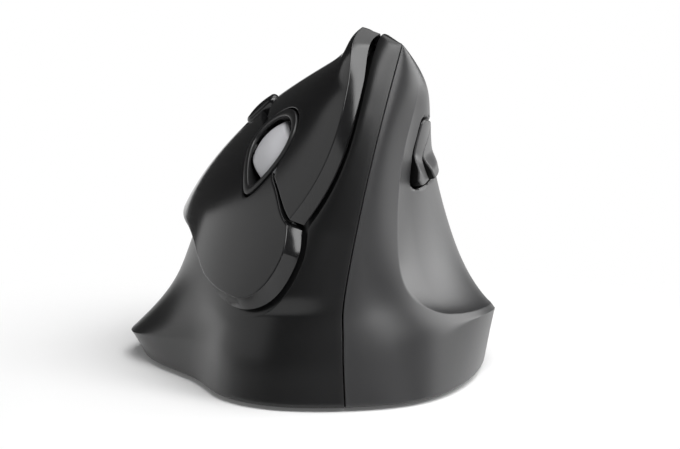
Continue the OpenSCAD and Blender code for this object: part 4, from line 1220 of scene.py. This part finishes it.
add_shells()
add_button("upper_button_skin", 1, "upper_key", "upper_button")
add_button("lower_button_skin", -1, "lower_key", "lower_button")
add_palm_cover()
add_ring()
add_tyre()
add_dpi_button()
add_side_button("forward_button_skin", True, "forward_key", "forward_button")
add_side_button("back_button_skin", False, "back_key", "back_button")
softened("base_plate_skin", "base_plate", 0.25, BASE)
softened("battery_door_skin", "battery_door", 0.2, BASE, "door")
softened("power_knob_cap", "power_knob", 0.3, KNOB, "power_key")
softened("receiver_body", "receiver", 0.25, SWITCH, "dongle")
add_feet()
add_all_screws()
paint_frame()


# Studio, in metres
FLOOR_REACH = 6.0
SHADE_FROM = 0.05
SHADE_TO = 0.12
SHADE_DEPTH = 0.9


def white_floor():
    """Pale paper that keeps the shade close to the mouse and is plain white further away."""
    made = Finish("white_floor", roughness=0.9)
    made.paint(made.noise(40, 2), (0.77,) * 3, (0.79,) * 3)
    glow = made.node("ShaderNodeEmission", {}, {"Color": (1, 1, 1, 1), "Strength": 1.0})
    kinds = ("Camera", "Glossy", "Transmission")
    seen, mirrored, through = (made.node("ShaderNodeLightPath", out=f"Is {kind} Ray") for kind in kinds)
    away = made.node("ShaderNodeVectorMath", {"operation": "LENGTH"}, {0: made.place}, "Value")
    shade = made.node("ShaderNodeMapRange", {"interpolation_type": "SMOOTHSTEP"},
                      {"Value": away, "From Min": SHADE_FROM, "From Max": SHADE_TO,
                       "To Min": SHADE_DEPTH, "To Max": 0.0})
    white = (seen + mirrored + through) * (1 - shade)
    paper = Value(made, made.shader.outputs[0])
    shown = made.node("ShaderNodeMixShader", {}, {0: white, 1: paper, 2: glow})
    made.tree.links.new(shown.socket, made.tree.nodes["Material Output"].inputs["Surface"])
    return made.material


def add_floor():
    mesh = bpy.data.meshes.new("floor")
    corners = [(-1, -1), (1, -1), (1, 1), (-1, 1)]
    mesh.from_pydata([(x * FLOOR_REACH, y * FLOOR_REACH, 0) for x, y in corners], [], [(0, 1, 2, 3)])
    mesh.materials.append(white_floor())
    floor = linked("floor", mesh)


def aim(thing, place, target, roll=0.0):
    """Puts a lamp or the camera at a place, looking at a target and rolled by degrees."""
    way = unit(np.asarray(target, float) - np.asarray(place, float))
    level = unit(np.cross(way, UP))
    c, s = math.cos(math.radians(roll)), math.sin(math.radians(roll))
    right = level * c + np.cross(level, way) * s
    up = np.cross(right, way)
    rows = [(right[k], up[k], -way[k], place[k]) for k in range(3)]
    thing.matrix_world = Matrix(rows + [(0, 0, 0, 1)])


def add_softbox(name, place, target, size, watts, roll=0.0):
    lamp = bpy.data.lights.new(name, "AREA")
    lamp.shape = "RECTANGLE"
    lamp.size, lamp.size_y = size
    lamp.energy = watts
    aim(linked(name, lamp), place, target, roll)


WORLD_LEVEL = 0.05


def add_world():
    world = bpy.data.worlds.new("studio")
    world.use_nodes = True
    bpy.context.scene.world = world
    back = world.node_tree.nodes["Background"]
    back.inputs["Color"].default_value = (1, 1, 1, 1)
    back.inputs["Strength"].default_value = WORLD_LEVEL


# The photo's frame in pixels, and the point that the camera looks at
PHOTO_W = 680
PHOTO_H = 449
FOCAL_PX = 2345
AIM_ROW_PX = 187
AIM_AT = np.array([0.007, 0.0, 0.038])
CAMERA_FAR = 0.52
CAMERA_RISE = math.radians(8)


def add_camera():
    data = bpy.data.cameras.new("camera")
    data.sensor_fit = "HORIZONTAL"
    data.sensor_width = 36
    data.lens = FOCAL_PX * data.sensor_width / PHOTO_W
    data.shift_y = -(PHOTO_H / 2 - AIM_ROW_PX) / PHOTO_W
    data.clip_start = 0.01
    camera = linked("camera", data)
    place = AIM_AT + CAMERA_FAR * np.array([0, -math.cos(CAMERA_RISE), math.sin(CAMERA_RISE)])
    aim(camera, place, AIM_AT)
    bpy.context.scene.camera = camera


add_floor()
add_world()
CENTRE = (0.0, 0.0, 0.04)
add_softbox("top_box", (0.3, 0.05, 0.95), CENTRE, (0.9, 0.8), 6)
add_softbox("right_wall", (0.9, 0.62, 0.36), (0, 0.62, 0.36), (1.0, 0.7), 7.5)
add_softbox("front_box", (0.34, -0.5, 0.685), CENTRE, (1.2, 0.5), 11, -35)
add_softbox("left_card", (-0.8, 0.28, 0.217), (0, 0.28, 0.217), (1.5, 0.44), 1.6, 18.8)
add_camera()
bpy.context.scene.view_settings.view_transform = "Standard"

bpy.context.view_layer.update()
